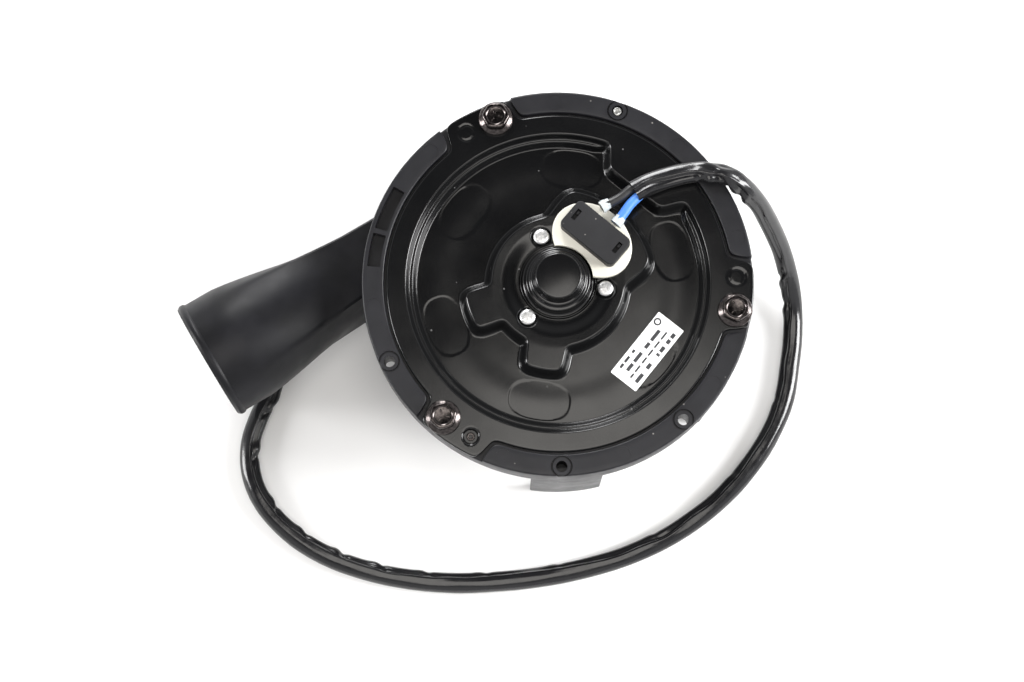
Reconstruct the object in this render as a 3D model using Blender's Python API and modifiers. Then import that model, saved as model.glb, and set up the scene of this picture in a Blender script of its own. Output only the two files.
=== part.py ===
"""Electric centrifugal supercharger, 12 V: a flat brush motor drives an impeller in a moulded volute.

Frame: metres, +Z up along the motor shaft. The unit lies on its inlet side, with z = 0 at the
surface it rests on. The outlet spigot points towards -X, and the origin is at the middle of the
base of the box round the unit, leaving out the cable. Every piece is modelled about the shaft
axis and then placed at AXIS.
"""
import math

import bmesh
import bpy
from mathutils import Vector

MM = 0.001
GAP = 0.3 * MM                      # clearance between pieces that touch

# Driving dimensions
RING_R = 79.0 * MM                  # mounting ring, 158 mm across
SPIGOT_REACH = 138.0 * MM           # shaft axis to the rim of the outlet spigot
FACE_Z = 66.0 * MM                  # top face of the ring above the resting surface
SPIGOT_R = 25.0 * MM                # takes a 2 inch hose
SPIGOT_Y = 50.2 * MM
SPIGOT_Z = 36.0 * MM
AXIS = Vector(((SPIGOT_REACH - RING_R) / 2, 0.0, 0.0))

# Motor plate
SHEET = 1.6 * MM
FLANGE_Z = FACE_Z - 0.4 * MM        # flange of the plate, just below the ring's face
DISH_Z = FACE_Z - 6.0 * MM          # recessed annulus of the plate
HUB_Z = FACE_Z + 0.6 * MM           # raised centre of the plate
FLANGE_R = 69.3 * MM
EAR_ANGLES = (84.8, 204.8, 324.8)   # degrees, the plate's three ears
EAR_HALF = 12.8
BOLT_PITCH_R = 72.0 * MM
BOLT_ANGLES = (79.5, 199.5, 319.5)
DOWEL_ANGLE = 210.0
RIVET_PITCH_R = 19.3 * MM
RIVET_ANGLES = (79.5, 199.5, 319.5)
RIVET_R = 1.6 * MM
OUTLINE_POINTS = 60                 # round the plate and its pocket
DISH_R = 61.5 * MM                  # outer edge of the recessed annulus
CHANNEL = (1.0, 39.0)               # degrees, where the flange runs inwards under the cable
STEP_REACH = 50.0 * MM              # from the shaft axis to the flange's straight step there

# Ring and casing
SEAT_Z = 62.9 * MM                  # ledge in the ring under the plate's gasket
SKIRT_Z = 51.5                      # lower edge of the ring's skirt, in mm
ROOF_Z = 43.3 * MM                  # underside of the ring moulding, which roofs the scroll
WALL = 2.5 * MM
BASE_Z = 11.0 * MM                  # underside of the scroll's floor
SCREW_HOLES = ((40.0, 50.0), (175.0, 50.0), (240.0, 55.0), (280.5, 50.0))   # degrees, foot in mm
SCREW_HOLE_PITCH_R = 75.1 * MM
SCREW_HOLE_R = 2.25 * MM
LUG_ANGLES = (170.0, 236.0, 300.0)
LUG_PITCH_R = 63.3 * MM
LEG_ANGLES = (62.0, 242.0, 302.0)
TONGUE_ANGLE = 127.0                # degrees, where the scroll starts
TONGUE_R = 48.5 * MM
SCROLL_END_R = 64.5 * MM
EYE_R = 26.0 * MM                   # inlet eye

# Motor internals
SHAFT_R = 4.0 * MM
BEARING_R = 11.0 * MM               # 8 x 22 x 7 mm ball bearing
BEARING_H = 7.0 * MM
UPPER_BEARING_Z = 61.5 * MM
LOWER_BEARING_Z = 42.9 * MM
MAGNET_ANGLES = (-10.0, 50.0, 110.0, 170.0, 230.0, 290.0)
BRUSH_ANGLES = (46.5, 166.5, 226.5, 346.5)
COMMUTATOR_R = 12.0 * MM
ARMATURE_R = 54.0 * MM
IMPELLER_R = 44.0 * MM
BLADES = 9

# Cable: the sleeve's centreline about the shaft axis, in mm, from the motor plate to the plug
SLEEVE_R = 4.0 * MM
LEAD_R = 2.1 * MM
SLEEVE_ROUTE = (
    (44.5, 14.8, 71.0), (50.5, 14.6, 70.8), (57.0, 13.5, 70.6), (63.5, 11.8, 70.7),
    (69.8, 9.2, 71.0), (75.6, 5.5, 71.3), (80.6, 0.4, 70.9), (84.8, -6.3, 66.4),
    (88.2, -13.5, 56.2), (90.6, -21.0, 43.0), (92.0, -29.5, 29.5), (91.6, -39.0, 17.0),
    (88.4, -49.5, 8.6), (82.6, -60.3, 4.9), (74.2, -71.3, 4.2), (61.8, -85.0, 4.1),
    (44.3, -96.2, 4.1), (24.4, -103.7, 4.1), (4.5, -107.2, 4.1), (-15.4, -107.2, 4.1),
    (-35.3, -104.0, 4.1), (-55.2, -98.0, 4.1), (-75.2, -89.6, 4.1), (-95.1, -79.0, 4.1),
    (-112.5, -66.6, 4.1), (-127.4, -52.6, 4.1), (-138.8, -37.6, 4.1), (-145.9, -22.0, 4.1),
    (-148.6, -7.0, 4.1), (-146.6, 6.4, 4.1), (-140.6, 17.2, 4.1), (-132.2, 25.0, 4.1),
    (-123.0, 31.4, 4.1), (-114.6, 39.0, 4.1), (-108.6, 48.4, 4.1),
)
PLUG_SIZE = (13.0 * MM, 20.0 * MM, 9.4 * MM)


# ---------------------------------------------------------------- scene and materials

def clear_scene():
    for item in list(bpy.data.objects):
        bpy.data.objects.remove(item, do_unlink=True)
    for group in list(bpy.data.collections):
        bpy.data.collections.remove(group)


def new_collection(name):
    group = bpy.data.collections.new(name)
    bpy.context.scene.collection.children.link(group)
    return group


def material(name, colour, roughness, metallic=0.0):
    found = bpy.data.materials.get(name)
    if found:
        return found
    made = bpy.data.materials.new(name)
    made.use_nodes = True
    shader = made.node_tree.nodes["Principled BSDF"]
    shader.inputs["Base Color"].default_value = (*colour, 1.0)
    shader.inputs["Roughness"].default_value = roughness
    shader.inputs["Metallic"].default_value = metallic
    return made


def ring_plastic():
    return material("ring_plastic", (0.022, 0.022, 0.025), 0.55)


def casing_plastic():
    return material("casing_plastic", (0.018, 0.018, 0.020), 0.42)


def plate_paint():
    return material("plate_paint", (0.012, 0.012, 0.012), 0.18)


def dark_bolt_steel():
    return material("dark_bolt_steel", (0.06, 0.05, 0.045), 0.28, 0.9)


def bright_steel():
    return material("bright_steel", (0.62, 0.62, 0.62), 0.25, 1.0)


def zinc_steel():
    return material("zinc_steel", (0.45, 0.45, 0.44), 0.4, 1.0)


def ferrite():
    return material("ferrite", (0.05, 0.05, 0.055), 0.7)


def copper():
    return material("copper", (0.72, 0.36, 0.2), 0.35, 1.0)


def brass():
    return material("brass", (0.65, 0.5, 0.22), 0.35, 1.0)


def carbon():
    return material("carbon", (0.03, 0.03, 0.03), 0.6)


def card_plastic():
    return material("card_plastic", (0.16, 0.1, 0.05), 0.6)


def cream_plastic():
    return material("cream_plastic", (0.72, 0.7, 0.62), 0.4)


def cap_plastic():
    return material("cap_plastic", (0.035, 0.035, 0.037), 0.6)


def impeller_plastic():
    return material("impeller_plastic", (0.03, 0.03, 0.032), 0.45)


def gasket_rubber():
    return material("gasket_rubber", (0.01, 0.01, 0.01), 0.8)


def label_paper():
    return material("label_paper", (0.8, 0.8, 0.8), 0.6)


def black_wire():
    return material("black_wire", (0.012, 0.012, 0.012), 0.35)


def blue_wire():
    return material("blue_wire", (0.05, 0.2, 0.62), 0.35)


def sleeve_vinyl():
    return material("sleeve_vinyl", (0.01, 0.01, 0.011), 0.2)


# ---------------------------------------------------------------- geometry helpers

def polar(radius, degrees, z=0.0):
    angle = math.radians(degrees)
    return Vector((radius * math.cos(angle), radius * math.sin(angle), z))


def smooth(t):
    t = min(max(t, 0.0), 1.0)
    return t * t * (3 - 2 * t)


def window(degrees, start, end, ramp):
    """1 between start and end, falling to 0 over ramp degrees inside each end."""
    into = (degrees - start) % 360
    span = (end - start) % 360
    if into > span:
        return 0.0
    return smooth(into / ramp) * smooth((span - into) / ramp)


def add_object(name, mesh, finish, group=None, turn=0.0):
    """Link a mesh as an object on the shaft axis, turned by some degrees about it."""
    made = bpy.data.objects.new(name, mesh)
    (group or PARTS).objects.link(made)
    made.location = AXIS
    made.rotation_euler.z = math.radians(turn)
    if finish:
        mesh.materials.append(finish)
    return made


def as_cutter(item):
    item.hide_render = True
    item.display_type = "WIRE"
    return item


def shade(item):
    item.data.shade_smooth()
    item.data.set_sharp_from_angle(angle=math.radians(35))
    return item


def turned(name, profile, finish, steps=48, group=None, closed=True):
    """Turn a profile of (radius, z) in mm about Z. The profile's outer side runs top to bottom."""
    mesh = bpy.data.meshes.new(name)
    points = [(r * MM, 0.0, z * MM) for r, z in profile]
    edges = [(i, i + 1) for i in range(len(points) - 1)]
    if closed:
        edges.append((len(points) - 1, 0))
    mesh.from_pydata(points, edges, [])
    made = add_object(name, mesh, finish, group)
    screw = made.modifiers.new("Turn", "SCREW")
    screw.steps = steps
    screw.render_steps = steps
    screw.use_merge_vertices = True
    screw.merge_threshold = 0.00001
    screw.use_smooth_shade = True
    return made


def ring(name, inner, outer, bottom, top, finish, steps=32, group=None):
    """A plain turned ring, in mm."""
    profile = [(inner, top), (outer, top), (outer, bottom), (inner, bottom)]
    return turned(name, profile, finish, steps, group)


def disc(name, radius, bottom, top, finish, steps=32, group=None):
    """A plain turned disc or pin, in mm."""
    profile = [(0.0, top), (radius, top), (radius, bottom), (0.0, bottom)]
    return turned(name, profile, finish, steps, group, closed=False)


def mesh_of(item, keep_name):
    """Turn a curve object into a mesh object in the same place, with its caps welded on."""
    bpy.context.view_layer.update()
    source = item.evaluated_get(bpy.context.evaluated_depsgraph_get())
    mesh = bpy.data.meshes.new_from_object(source)
    work = bmesh.new()
    work.from_mesh(mesh)
    bmesh.ops.remove_doubles(work, verts=work.verts, dist=0.000001)
    bmesh.ops.recalc_face_normals(work, faces=work.faces)
    work.to_mesh(mesh)
    work.free()
    made = bpy.data.objects.new(keep_name, mesh)
    for group in item.users_collection:
        group.objects.link(made)
    made.matrix_world = item.matrix_world.copy()
    bpy.data.objects.remove(item, do_unlink=True)
    made.name = keep_name
    return made


def prism(name, outline, bottom, top, finish, group=None, turn=0.0):
    """A flat outline of (x, y) in metres, given thickness from bottom to top."""
    data = bpy.data.curves.new(name, "CURVE")
    data.dimensions = "2D"
    data.fill_mode = "BOTH"
    data.extrude = (top - bottom) / 2
    line = data.splines.new("POLY")
    line.points.add(len(outline) - 1)
    for point, (x, y) in zip(line.points, outline):
        point.co = (x, y, 0.0, 1.0)
    line.use_cyclic_u = True
    made = bpy.data.objects.new(name + "_outline", data)
    (group or PARTS).objects.link(made)
    made.location = AXIS + Vector((0.0, 0.0, (top + bottom) / 2))
    made.rotation_euler.z = math.radians(turn)
    solid = mesh_of(made, name)
    if finish:
        solid.data.materials.clear()
        solid.data.materials.append(finish)
    return solid


def box(name, low, high, finish, group=None, turn=0.0):
    """A box between two corners in metres, in a frame on the shaft axis turned about it."""
    work = bmesh.new()
    bmesh.ops.create_cube(work, size=1.0)
    size = [b - a for a, b in zip(low, high)]
    middle = [(a + b) / 2 for a, b in zip(low, high)]
    for vert in work.verts:
        vert.co = [m + c * s for m, c, s in zip(middle, vert.co, size)]
    mesh = bpy.data.meshes.new(name)
    work.to_mesh(mesh)
    work.free()
    return add_object(name, mesh, finish, group, turn)


def bevel(item, width, segments=2):
    made = item.modifiers.new("Rounded edges", "BEVEL")
    made.width = width
    made.segments = segments
    made.limit_method = "ANGLE"
    made.angle_limit = math.radians(40)
    return item


def combine(item, other, operation):
    """Join or cut with another object, which becomes a hidden cutter."""
    made = item.modifiers.new(operation.title(), "BOOLEAN")
    made.operation = operation
    made.object = as_cutter(other)
    return item


def cut(item, other):
    return combine(item, other, "DIFFERENCE")


def join(item, other):
    return combine(item, other, "UNION")


def move(item, offset):
    item.location = item.location + Vector(offset)
    return item


def spin(item, degrees):
    """Turn a cutter about its own axis, so that its facets don't line up with another's."""
    item.rotation_euler.z = math.radians(degrees)
    return item


def tube(name, points, radius, finish, resolution=2):
    """A round tube along points in metres about the shaft axis, with closed ends."""
    data = bpy.data.curves.new(name, "CURVE")
    data.dimensions = "3D"
    data.bevel_depth = radius
    data.bevel_resolution = resolution
    data.use_fill_caps = True
    line = data.splines.new("POLY")
    line.points.add(len(points) - 1)
    for point, place in zip(line.points, points):
        point.co = (*place, 1.0)
    data.materials.append(finish)
    made = bpy.data.objects.new(name, data)
    PARTS.objects.link(made)
    made.location = AXIS
    return made


def smooth_route(route, spacing):
    """Points about spacing apart on the Catmull-Rom curve through a route's points."""
    ends = [route[0] * 2 - route[1]] + list(route) + [route[-1] * 2 - route[-2]]
    dense = []
    for a, b, c, d in zip(ends, ends[1:], ends[2:], ends[3:]):
        for k in range(8):
            t = k / 8
            dense.append(0.5 * (2 * b + (c - a) * t + (2 * a - 5 * b + 4 * c - d) * t * t
                                + (3 * b - a - 3 * c + d) * t ** 3))
    dense.append(route[-1])
    length = sum((b - a).length for a, b in zip(dense, dense[1:]))
    count = max(2, round(length / spacing))
    wanted, points, run = length / count, [dense[0]], 0.0
    for a, b in zip(dense, dense[1:]):
        step = (b - a).length
        while run + step >= wanted * len(points) and len(points) < count:
            points.append(a.lerp(b, (wanted * len(points) - run) / step))
        run += step
    points.append(dense[-1])
    return points


def loft(name, sections, finish, group=None, closed_ends=True):
    """Skin closed sections of equal point count; the sections run along -X or outwards."""
    work = bmesh.new()
    loops = [[work.verts.new(p) for p in section] for section in sections]
    count = len(loops[0])
    for near, far in zip(loops, loops[1:]):
        for i in range(count):
            k = (i + 1) % count
            work.faces.new((near[i], far[i], far[k], near[k]))
    if closed_ends:
        work.faces.new(loops[0])
        work.faces.new(tuple(reversed(loops[-1])))
        bmesh.ops.recalc_face_normals(work, faces=work.faces)
    mesh = bpy.data.meshes.new(name)
    work.to_mesh(mesh)
    work.free()
    return add_object(name, mesh, finish, group)


# ---------------------------------------------------------------- outlines

def ear(degrees, grow=0.0):
    """1 on the plate's ears and 0 between them."""
    half = EAR_HALF + grow
    return max(window(degrees, a - half, a + half, 3.6) for a in EAR_ANGLES)


def plate_edge(degrees):
    """Radius of the motor plate's rim: round, with three ears out to the ring's edge."""
    return FLANGE_R + (RING_R - FLANGE_R) * ear(degrees)


def pocket_edge(degrees):
    """Radius of the pocket in the ring that the plate drops into, open at the ears."""
    return FLANGE_R + MM + (RING_R + 2 * MM - FLANGE_R) * ear(degrees, 0.8)


def hub_edge(degrees):
    """Radius of the plate's raised centre: round, with a lobe over each pocket of brushes."""
    connector_lobe = 11.0 * MM * window(degrees, -38, 70, 22)
    left_lobe = 10.8 * MM * window(degrees, 151, 186, 6.5)
    lower_lobe = 9.8 * MM * window(degrees, 211, 247.5, 8)
    return 27.0 * MM + max(connector_lobe, left_lobe, lower_lobe)


def dish_edge(degrees):
    """Radius where the flange drops to the recessed annulus, with a straight step under the cable."""
    if window(degrees, *CHANNEL, 5) == 0.0:
        return DISH_R
    step = STEP_REACH / math.cos(math.radians(degrees - sum(CHANNEL) / 2))
    return DISH_R - (DISH_R - step) * window(degrees, *CHANNEL, 5)


def scroll_edge(degrees):
    """Inner radius of the scroll, growing from the tongue to the outlet."""
    turn = (degrees - TONGUE_ANGLE) % 360
    return TONGUE_R + (SCROLL_END_R - TONGUE_R) * min(turn / 323.0, 1.0)


def round_outline(radius_at, count, grow=0.0):
    angles = [360.0 * i / count for i in range(count)]
    return [tuple(polar(radius_at(a) + grow, a).xy) for a in angles]


def arc_outline(inner, outer, start, end, count=8):
    angles = [start + (end - start) * i / count for i in range(count + 1)]
    far = [tuple(polar(outer, a).xy) for a in angles]
    near = [tuple(polar(inner, a).xy) for a in reversed(angles)]
    return far + near


def rounded_rectangle(length, width, radius, centre=(0.0, 0.0), degrees=0.0, count=3):
    """Outline of a rectangle with round corners, its length along the given direction."""
    points = []
    turn = math.radians(degrees)
    for corner in range(4):
        sx, sy = ((1, 1), (-1, 1), (-1, -1), (1, -1))[corner]
        for i in range(count + 1):
            angle = math.radians(90 * corner + 90 * i / count)
            x = sx * (length / 2 - radius) + radius * math.cos(angle)
            y = sy * (width / 2 - radius) + radius * math.sin(angle)
            points.append((centre[0] + x * math.cos(turn) - y * math.sin(turn),
                           centre[1] + x * math.sin(turn) + y * math.cos(turn)))
    return points


# ---------------------------------------------------------------- casings

DUCT_BASE = BASE_Z - 0.2 * MM
DUCT_TOP = 46.0 * MM
DUCT_NEAR = (39.4 * MM, 36.0 * MM)      # y of the wall nearest the shaft, at its top and foot
DUCT_FAR = (65.7 * MM, 67.4 * MM)       # y of the far wall, at its top and foot
DUCT_FLARE_X = -64.0 * MM               # where the duct starts to turn round
DUCT_ROUND_X = -122.0 * MM              # where it has become round
DUCT_STATIONS = (-40, -64, -78, -90, -100, -110, -122, -134.4)
BEAD_STATIONS = (-135.0, -137.4)        # raised bead that holds the hose
BEAD = 0.7 * MM
SECTION_POINTS = 24


def duct_section(x, inset):
    """A closed section of the outlet duct, set in by inset: rectangle at the scroll, then round."""
    blend = smooth((DUCT_FLARE_X - x) / (DUCT_FLARE_X - DUCT_ROUND_X))
    points = []
    for i in range(SECTION_POINTS):
        angle = 2 * math.pi * (i + 0.5) / SECTION_POINTS
        c, s = math.cos(angle), math.sin(angle)
        reach = 1.0 / max(abs(c), abs(s))
        across, up = (c * reach + 1) / 2, (s * reach + 1) / 2
        near = DUCT_NEAR[1] + (DUCT_NEAR[0] - DUCT_NEAR[1]) * up + inset
        far = DUCT_FAR[1] + (DUCT_FAR[0] - DUCT_FAR[1]) * up - inset
        height = DUCT_TOP - DUCT_BASE - 2 * inset
        square = Vector((x, near + (far - near) * across, DUCT_BASE + inset + height * up))
        circle = Vector((x, SPIGOT_Y + (SPIGOT_R - inset) * c, SPIGOT_Z + (SPIGOT_R - inset) * s))
        points.append(square.lerp(circle, blend))
    return points


def duct_outside():
    """The duct's outer form, with the bead at the rim of the spigot."""
    sections = [duct_section(x * MM, 0.0) for x in (-12,) + DUCT_STATIONS]
    sections += [duct_section(x * MM, -BEAD) for x in BEAD_STATIONS]
    sections.append(duct_section(-SPIGOT_REACH, 0.0))
    return loft("duct_outside", sections, None, CUTTERS)


def duct_inside():
    stations = (-14,) + DUCT_STATIONS + (-SPIGOT_REACH / MM - 1,)
    return loft("duct_inside", [duct_section(x * MM, WALL) for x in stations], None, CUTTERS)


def make_volute_casing():
    """Lower moulding: scroll, outlet duct with its hose spigot, and the inlet collar."""
    casing = prism("volute_casing", round_outline(scroll_edge, 48, WALL), BASE_Z,
                   ROOF_Z + 3 * MM, casing_plastic())
    join(casing, spin(ring("inlet_collar", 22.0, 29.5, 0.0, 12.4, None, 32, CUTTERS), 2.3))
    join(casing, duct_outside())
    for angle in LUG_ANGLES:
        lug = disc("casing_lug", 4.0, 33.0, 47.0, None, 10, CUTTERS)
        join(casing, move(lug, polar(LUG_PITCH_R, angle)))
        rib_start = scroll_edge(angle) + 1.2 * MM
        join(casing, box("lug_rib", (rib_start, -1.4 * MM, 34 * MM),
                         (LUG_PITCH_R, 1.4 * MM, 46 * MM), None, CUTTERS, angle))
    cut(casing, duct_inside())
    cut(casing, prism("scroll_inside", round_outline(scroll_edge, 48), BASE_Z + WALL, 50 * MM,
                      None, CUTTERS))
    cut(casing, spin(disc("roof_seat", 68.1, ROOF_Z / MM - 0.3, 60.0, None, 48, CUTTERS), 3.1))
    eye_r = EYE_R / MM
    eye_profile = [(0, 16), (28.4, 16), (eye_r, 12.6), (eye_r, 2.5), (28.5, -1), (0, -1)]
    cut(casing, spin(turned("inlet_eye", eye_profile, None, 32, CUTTERS, closed=False), 2.3))
    for angle in LUG_ANGLES:
        hole = disc("lug_hole", 2.0, 30.0, 50.0, None, 8, CUTTERS)
        cut(casing, move(hole, polar(LUG_PITCH_R, angle)))
    return casing


def make_motor_housing():
    """Upper moulding: mounting ring and skirt, can for the motor, scroll roof and legs."""
    top, edge, roof = FACE_Z / MM, RING_R / MM, ROOF_Z / MM
    profile = [(63.6, top), (edge - 0.6, top), (edge, top - 0.6), (edge, SKIRT_Z), (76.8, SKIRT_Z),
               (76.8, 60.5), (63.2, 60.5), (63.2, 45.9), (67.6, 45.9), (67.6, roof), (14.0, roof),
               (14.0, 45.7), (60.5, 45.7), (60.5, 60.0)]
    housing = turned("motor_housing", profile, ring_plastic(), 48)
    for angle in BOLT_ANGLES:
        boss = disc("bolt_boss", 6.3, 52.0, 61.5, None, 14, CUTTERS)
        join(housing, move(boss, polar(BOLT_PITCH_R, angle)))
    for angle, _ in SCREW_HOLES:
        boss = disc("screw_boss", 3.7, 53.0, 61.5, None, 12, CUTTERS)
        join(housing, move(boss, polar(SCREW_HOLE_PITCH_R, angle)))
    for angle in LUG_ANGLES:
        pad = disc("roof_pad", 4.0, 44.5, 54.0, None, 10, CUTTERS)
        join(housing, move(pad, polar(LUG_PITCH_R, angle)))
    for angle in LEG_ANGLES:
        join(housing, prism("leg", arc_outline(74.8 * MM, 77.6 * MM, angle - 11, angle + 11, 4), 0.0,
                            61.7 * MM, None, CUTTERS))
    cut(housing, prism("plate_pocket", round_outline(pocket_edge, OUTLINE_POINTS), SEAT_Z, FACE_Z + 3 * MM,
                       None, CUTTERS))
    for start, end in ((118.5, 132.5), (134.0, 144.5)):
        cut(housing, prism("ring_recess", arc_outline(71.9 * MM, 77.0 * MM, start, end, 3),
                           61.6 * MM, FACE_Z + MM, None, CUTTERS))
    for angle in BOLT_ANGLES:
        hole = disc("insert_hole", 4.8, 53.5, 70.0, None, 14, CUTTERS)
        cut(housing, move(hole, polar(BOLT_PITCH_R, angle)))
    for angle, foot in SCREW_HOLES:
        hole = disc("screw_hole", SCREW_HOLE_R / MM, foot, 70.0, None, 10, CUTTERS)
        cut(housing, move(hole, polar(SCREW_HOLE_PITCH_R, angle)))
    for angle in LUG_ANGLES:
        hole = disc("roof_hole", 2.0, 40.0, 52.5, None, 8, CUTTERS)
        cut(housing, move(hole, polar(LUG_PITCH_R, angle)))
    dowel_hole = disc("dowel_hole", 2.5, 61.0, 70.0, None, 10, CUTTERS)
    cut(housing, move(dowel_hole, polar(BOLT_PITCH_R, DOWEL_ANGLE)))
    return housing


# ---------------------------------------------------------------- motor shell

def make_motor_plate():
    """Pressed-steel end plate: lobed raised centre, recessed annulus, flange and ears."""
    hole_r = 15.7 * MM
    rings = [
        (lambda a: hole_r, HUB_Z),
        (hub_edge, HUB_Z),
        (lambda a: hub_edge(a) + 2.2 * MM, DISH_Z),
        (lambda a: dish_edge(a) - 4.0 * MM, DISH_Z),
        (dish_edge, FLANGE_Z),
        (plate_edge, FLANGE_Z),
    ]
    angles = [360.0 * i / OUTLINE_POINTS for i in range(OUTLINE_POINTS)]
    sections = [[polar(radius_at(a), a, z) for a in angles] for radius_at, z in rings]
    plate = loft("motor_plate", sections, plate_paint(), closed_ends=False)
    sheet = plate.modifiers.new("Sheet thickness", "SOLIDIFY")
    sheet.thickness = SHEET
    sheet.offset = -1.0
    sheet.use_even_offset = False
    for angle in BOLT_ANGLES:
        hole = disc("bolt_hole", 3.5, 50.0, 75.0, None, 12, CUTTERS)
        cut(plate, move(hole, polar(BOLT_PITCH_R, angle)))
    for angle in RIVET_ANGLES:
        hole = disc("rivet_hole", 2.0, 55.0, 75.0, None, 8, CUTTERS)
        cut(plate, move(hole, polar(RIVET_PITCH_R, angle)))
    dowel_hole = disc("plate_dowel_hole", 3.0, 50.0, 75.0, None, 12, CUTTERS)
    cut(plate, move(dowel_hole, polar(BOLT_PITCH_R, DOWEL_ANGLE)))
    slot = prism("connector_slot", rounded_rectangle(22 * MM, 9 * MM, 2 * MM, CAP_CENTRE, CAP_TURN),
                 50 * MM, 75 * MM, None, CUTTERS)
    cut(plate, slot)
    return shade(plate)


def make_motor_cup():
    """Steel cup that closes the motor below, with a drawn pocket for the lower bearing."""
    profile = [(56.0, 57.9), (57.3, 57.9), (57.3, 46.2), (12.6, 46.2), (12.6, 41.3), (6.5, 41.3),
               (6.5, 42.6), (11.3, 42.6), (11.3, 47.6), (56.0, 47.6)]
    return turned("motor_cup", profile, zinc_steel(), 36)


def make_bearing_cup():
    """Pressed cup over the upper bearing, riveted under the plate's raised centre."""
    profile = [(0, 77.0), (8.4, 77.0), (9.2, 76.2), (10.6, 70.4), (12.6, 69.7), (13.2, 69.0),
               (13.5, 60.7), (15.0, 60.7), (15.2, 64.7), (22.4, 64.7), (22.4, 63.2), (16.3, 63.2),
               (16.3, 59.2), (11.3, 59.2), (11.3, 69.0), (8.2, 75.6), (0, 75.6)]
    cup = turned("bearing_cup", profile, plate_paint(), 24, closed=False)
    for angle in RIVET_ANGLES:
        hole = disc("cup_rivet_hole", 2.0, 55.0, 75.0, None, 8, CUTTERS)
        cut(cup, move(hole, polar(RIVET_PITCH_R, angle)))
    return cup


def make_plate_gasket():
    """Flat gasket between the plate's flange and its seat in the ring."""
    return ring("plate_gasket", 64.6, 68.6, 63.2, 63.6, gasket_rubber(), 36)


# ---------------------------------------------------------------- fasteners

def repeated(name, build, pitch_r, angles):
    """A piece of its own at each angle on a circle."""
    for number, angle in enumerate(angles, start=1):
        build(f"{name}_{number}", polar(pitch_r, angle))


def flange_bolt(name, place):
    """M6 bolt: shank and washer face turned, hexagon head joined on and dished at the top."""
    under = FLANGE_Z / MM + 0.3
    profile = [(0, under + 2.6), (4.0, under + 2.6), (4.3, under + 1.9), (6.9, under + 1.2),
               (7.0, under + 0.3), (6.7, under), (3.0, under), (3.0, under - 11.2),
               (2.5, under - 11.8), (0, under - 11.8)]
    bolt = turned(name, profile, dark_bolt_steel(), 16, closed=False)
    hexagon = [tuple(polar(5.77 * MM, 60 * k + 12).xy) for k in range(6)]
    head = prism("bolt_head", hexagon, (under + 1.5) * MM, (under + 6.0) * MM, None, CUTTERS)
    join(bolt, bevel(move(head, place), 0.5 * MM, 1))
    dish = turned("bolt_dish", [(0, under + 7), (3.6, under + 7), (3.3, under + 5.4), (0, under + 5.4)],
                  None, 12, CUTTERS, closed=False)
    cut(bolt, move(dish, place))
    return move(bolt, place)


def plate_rivet(name, place):
    head = HUB_Z / MM + 0.3
    shank = RIVET_R / MM
    profile = [(0, head + 1.1), (2.2, head + 1.0), (3.0, head + 0.6), (3.2, head + 0.1), (3.1, head),
               (shank, head), (shank, 62.9), (2.5, 62.9), (2.5, 62.0), (0, 61.8)]
    return move(turned(name, profile, bright_steel(), 12, closed=False), place)


def threaded_insert(name, place):
    """Insert in the boss under each flange bolt, open from end to end."""
    return move(ring(name, 3.4, 4.4, 53.9, 62.8, brass(), 12), place)


def casing_screw(name, place):
    profile = [(0, 51.8), (1.2, 51.6), (1.6, 50.8), (1.6, 32.7), (3.2, 32.7), (3.2, 31.0),
               (2.8, 30.4), (0, 30.4)]
    return move(turned(name, profile, zinc_steel(), 8, closed=False), place)


def dowel_pin(name, place):
    profile = [(0, 65.5), (1.6, 65.5), (2.1, 65.0), (2.1, 61.4), (0, 61.4)]
    return move(turned(name, profile, zinc_steel(), 10, closed=False), place)


def ring_screw(name, place):
    profile = [(0, 65.6), (1.5, 65.6), (1.9, 65.2), (1.9, 54.0), (1.5, 53.6), (0, 53.6)]
    return move(turned(name, profile, zinc_steel(), 10, closed=False), place)


def make_fasteners():
    repeated("flange_bolt", flange_bolt, BOLT_PITCH_R, BOLT_ANGLES)
    repeated("threaded_insert", threaded_insert, BOLT_PITCH_R, BOLT_ANGLES)
    repeated("plate_rivet", plate_rivet, RIVET_PITCH_R, RIVET_ANGLES)
    repeated("casing_screw", casing_screw, LUG_PITCH_R, LUG_ANGLES)
    dowel_pin("dowel_pin", polar(BOLT_PITCH_R, DOWEL_ANGLE))
    ring_screw("ring_screw", polar(SCREW_HOLE_PITCH_R, SCREW_HOLES[0][0]))


# ---------------------------------------------------------------- rotor

def make_rotor():
    """Shaft, armature, commutator, impeller and what holds them: they turn as one."""
    profile = [(0, 70.3), (3.4, 70.3), (4.0, 69.7), (4.0, 20.3), (3.0, 20.3), (3.0, 14.3),
               (2.6, 13.9), (0, 13.9)]
    turned("motor_shaft", profile, bright_steel(), 16, closed=False)
    bore = SHAFT_R / MM + 0.3
    armature_r = ARMATURE_R / MM
    profile = [(bore, 52.6), (12.4, 52.6), (armature_r, 52.2), (armature_r, 48.8), (13.0, 48.8),
               (12.2, 50.5), (bore, 50.5)]
    turned("armature", profile, copper(), 32)
    ring("commutator", bore, COMMUTATOR_R / MM, 52.9, 58.4, copper(), 24)
    ring("shaft_spacer", bore, 6.6, 58.7, 61.3, zinc_steel(), 16)
    for name, base in (("upper", UPPER_BEARING_Z), ("lower", LOWER_BEARING_Z)):
        low = base / MM
        ring(f"{name}_bearing_race", bore, 6.3, low, low + BEARING_H / MM, bright_steel(), 16)
    make_impeller()
    ring("impeller_washer", 3.4, 8.0, 19.0, 20.0, zinc_steel(), 12)
    hexagon = [tuple(polar(5.77 * MM, 60 * k + 30).xy) for k in range(6)]
    nut = prism("impeller_nut", hexagon, 14.4 * MM, 18.7 * MM, zinc_steel())
    cut(nut, disc("nut_bore", 3.4, 10.0, 22.0, None, 12, CUTTERS))


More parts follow.
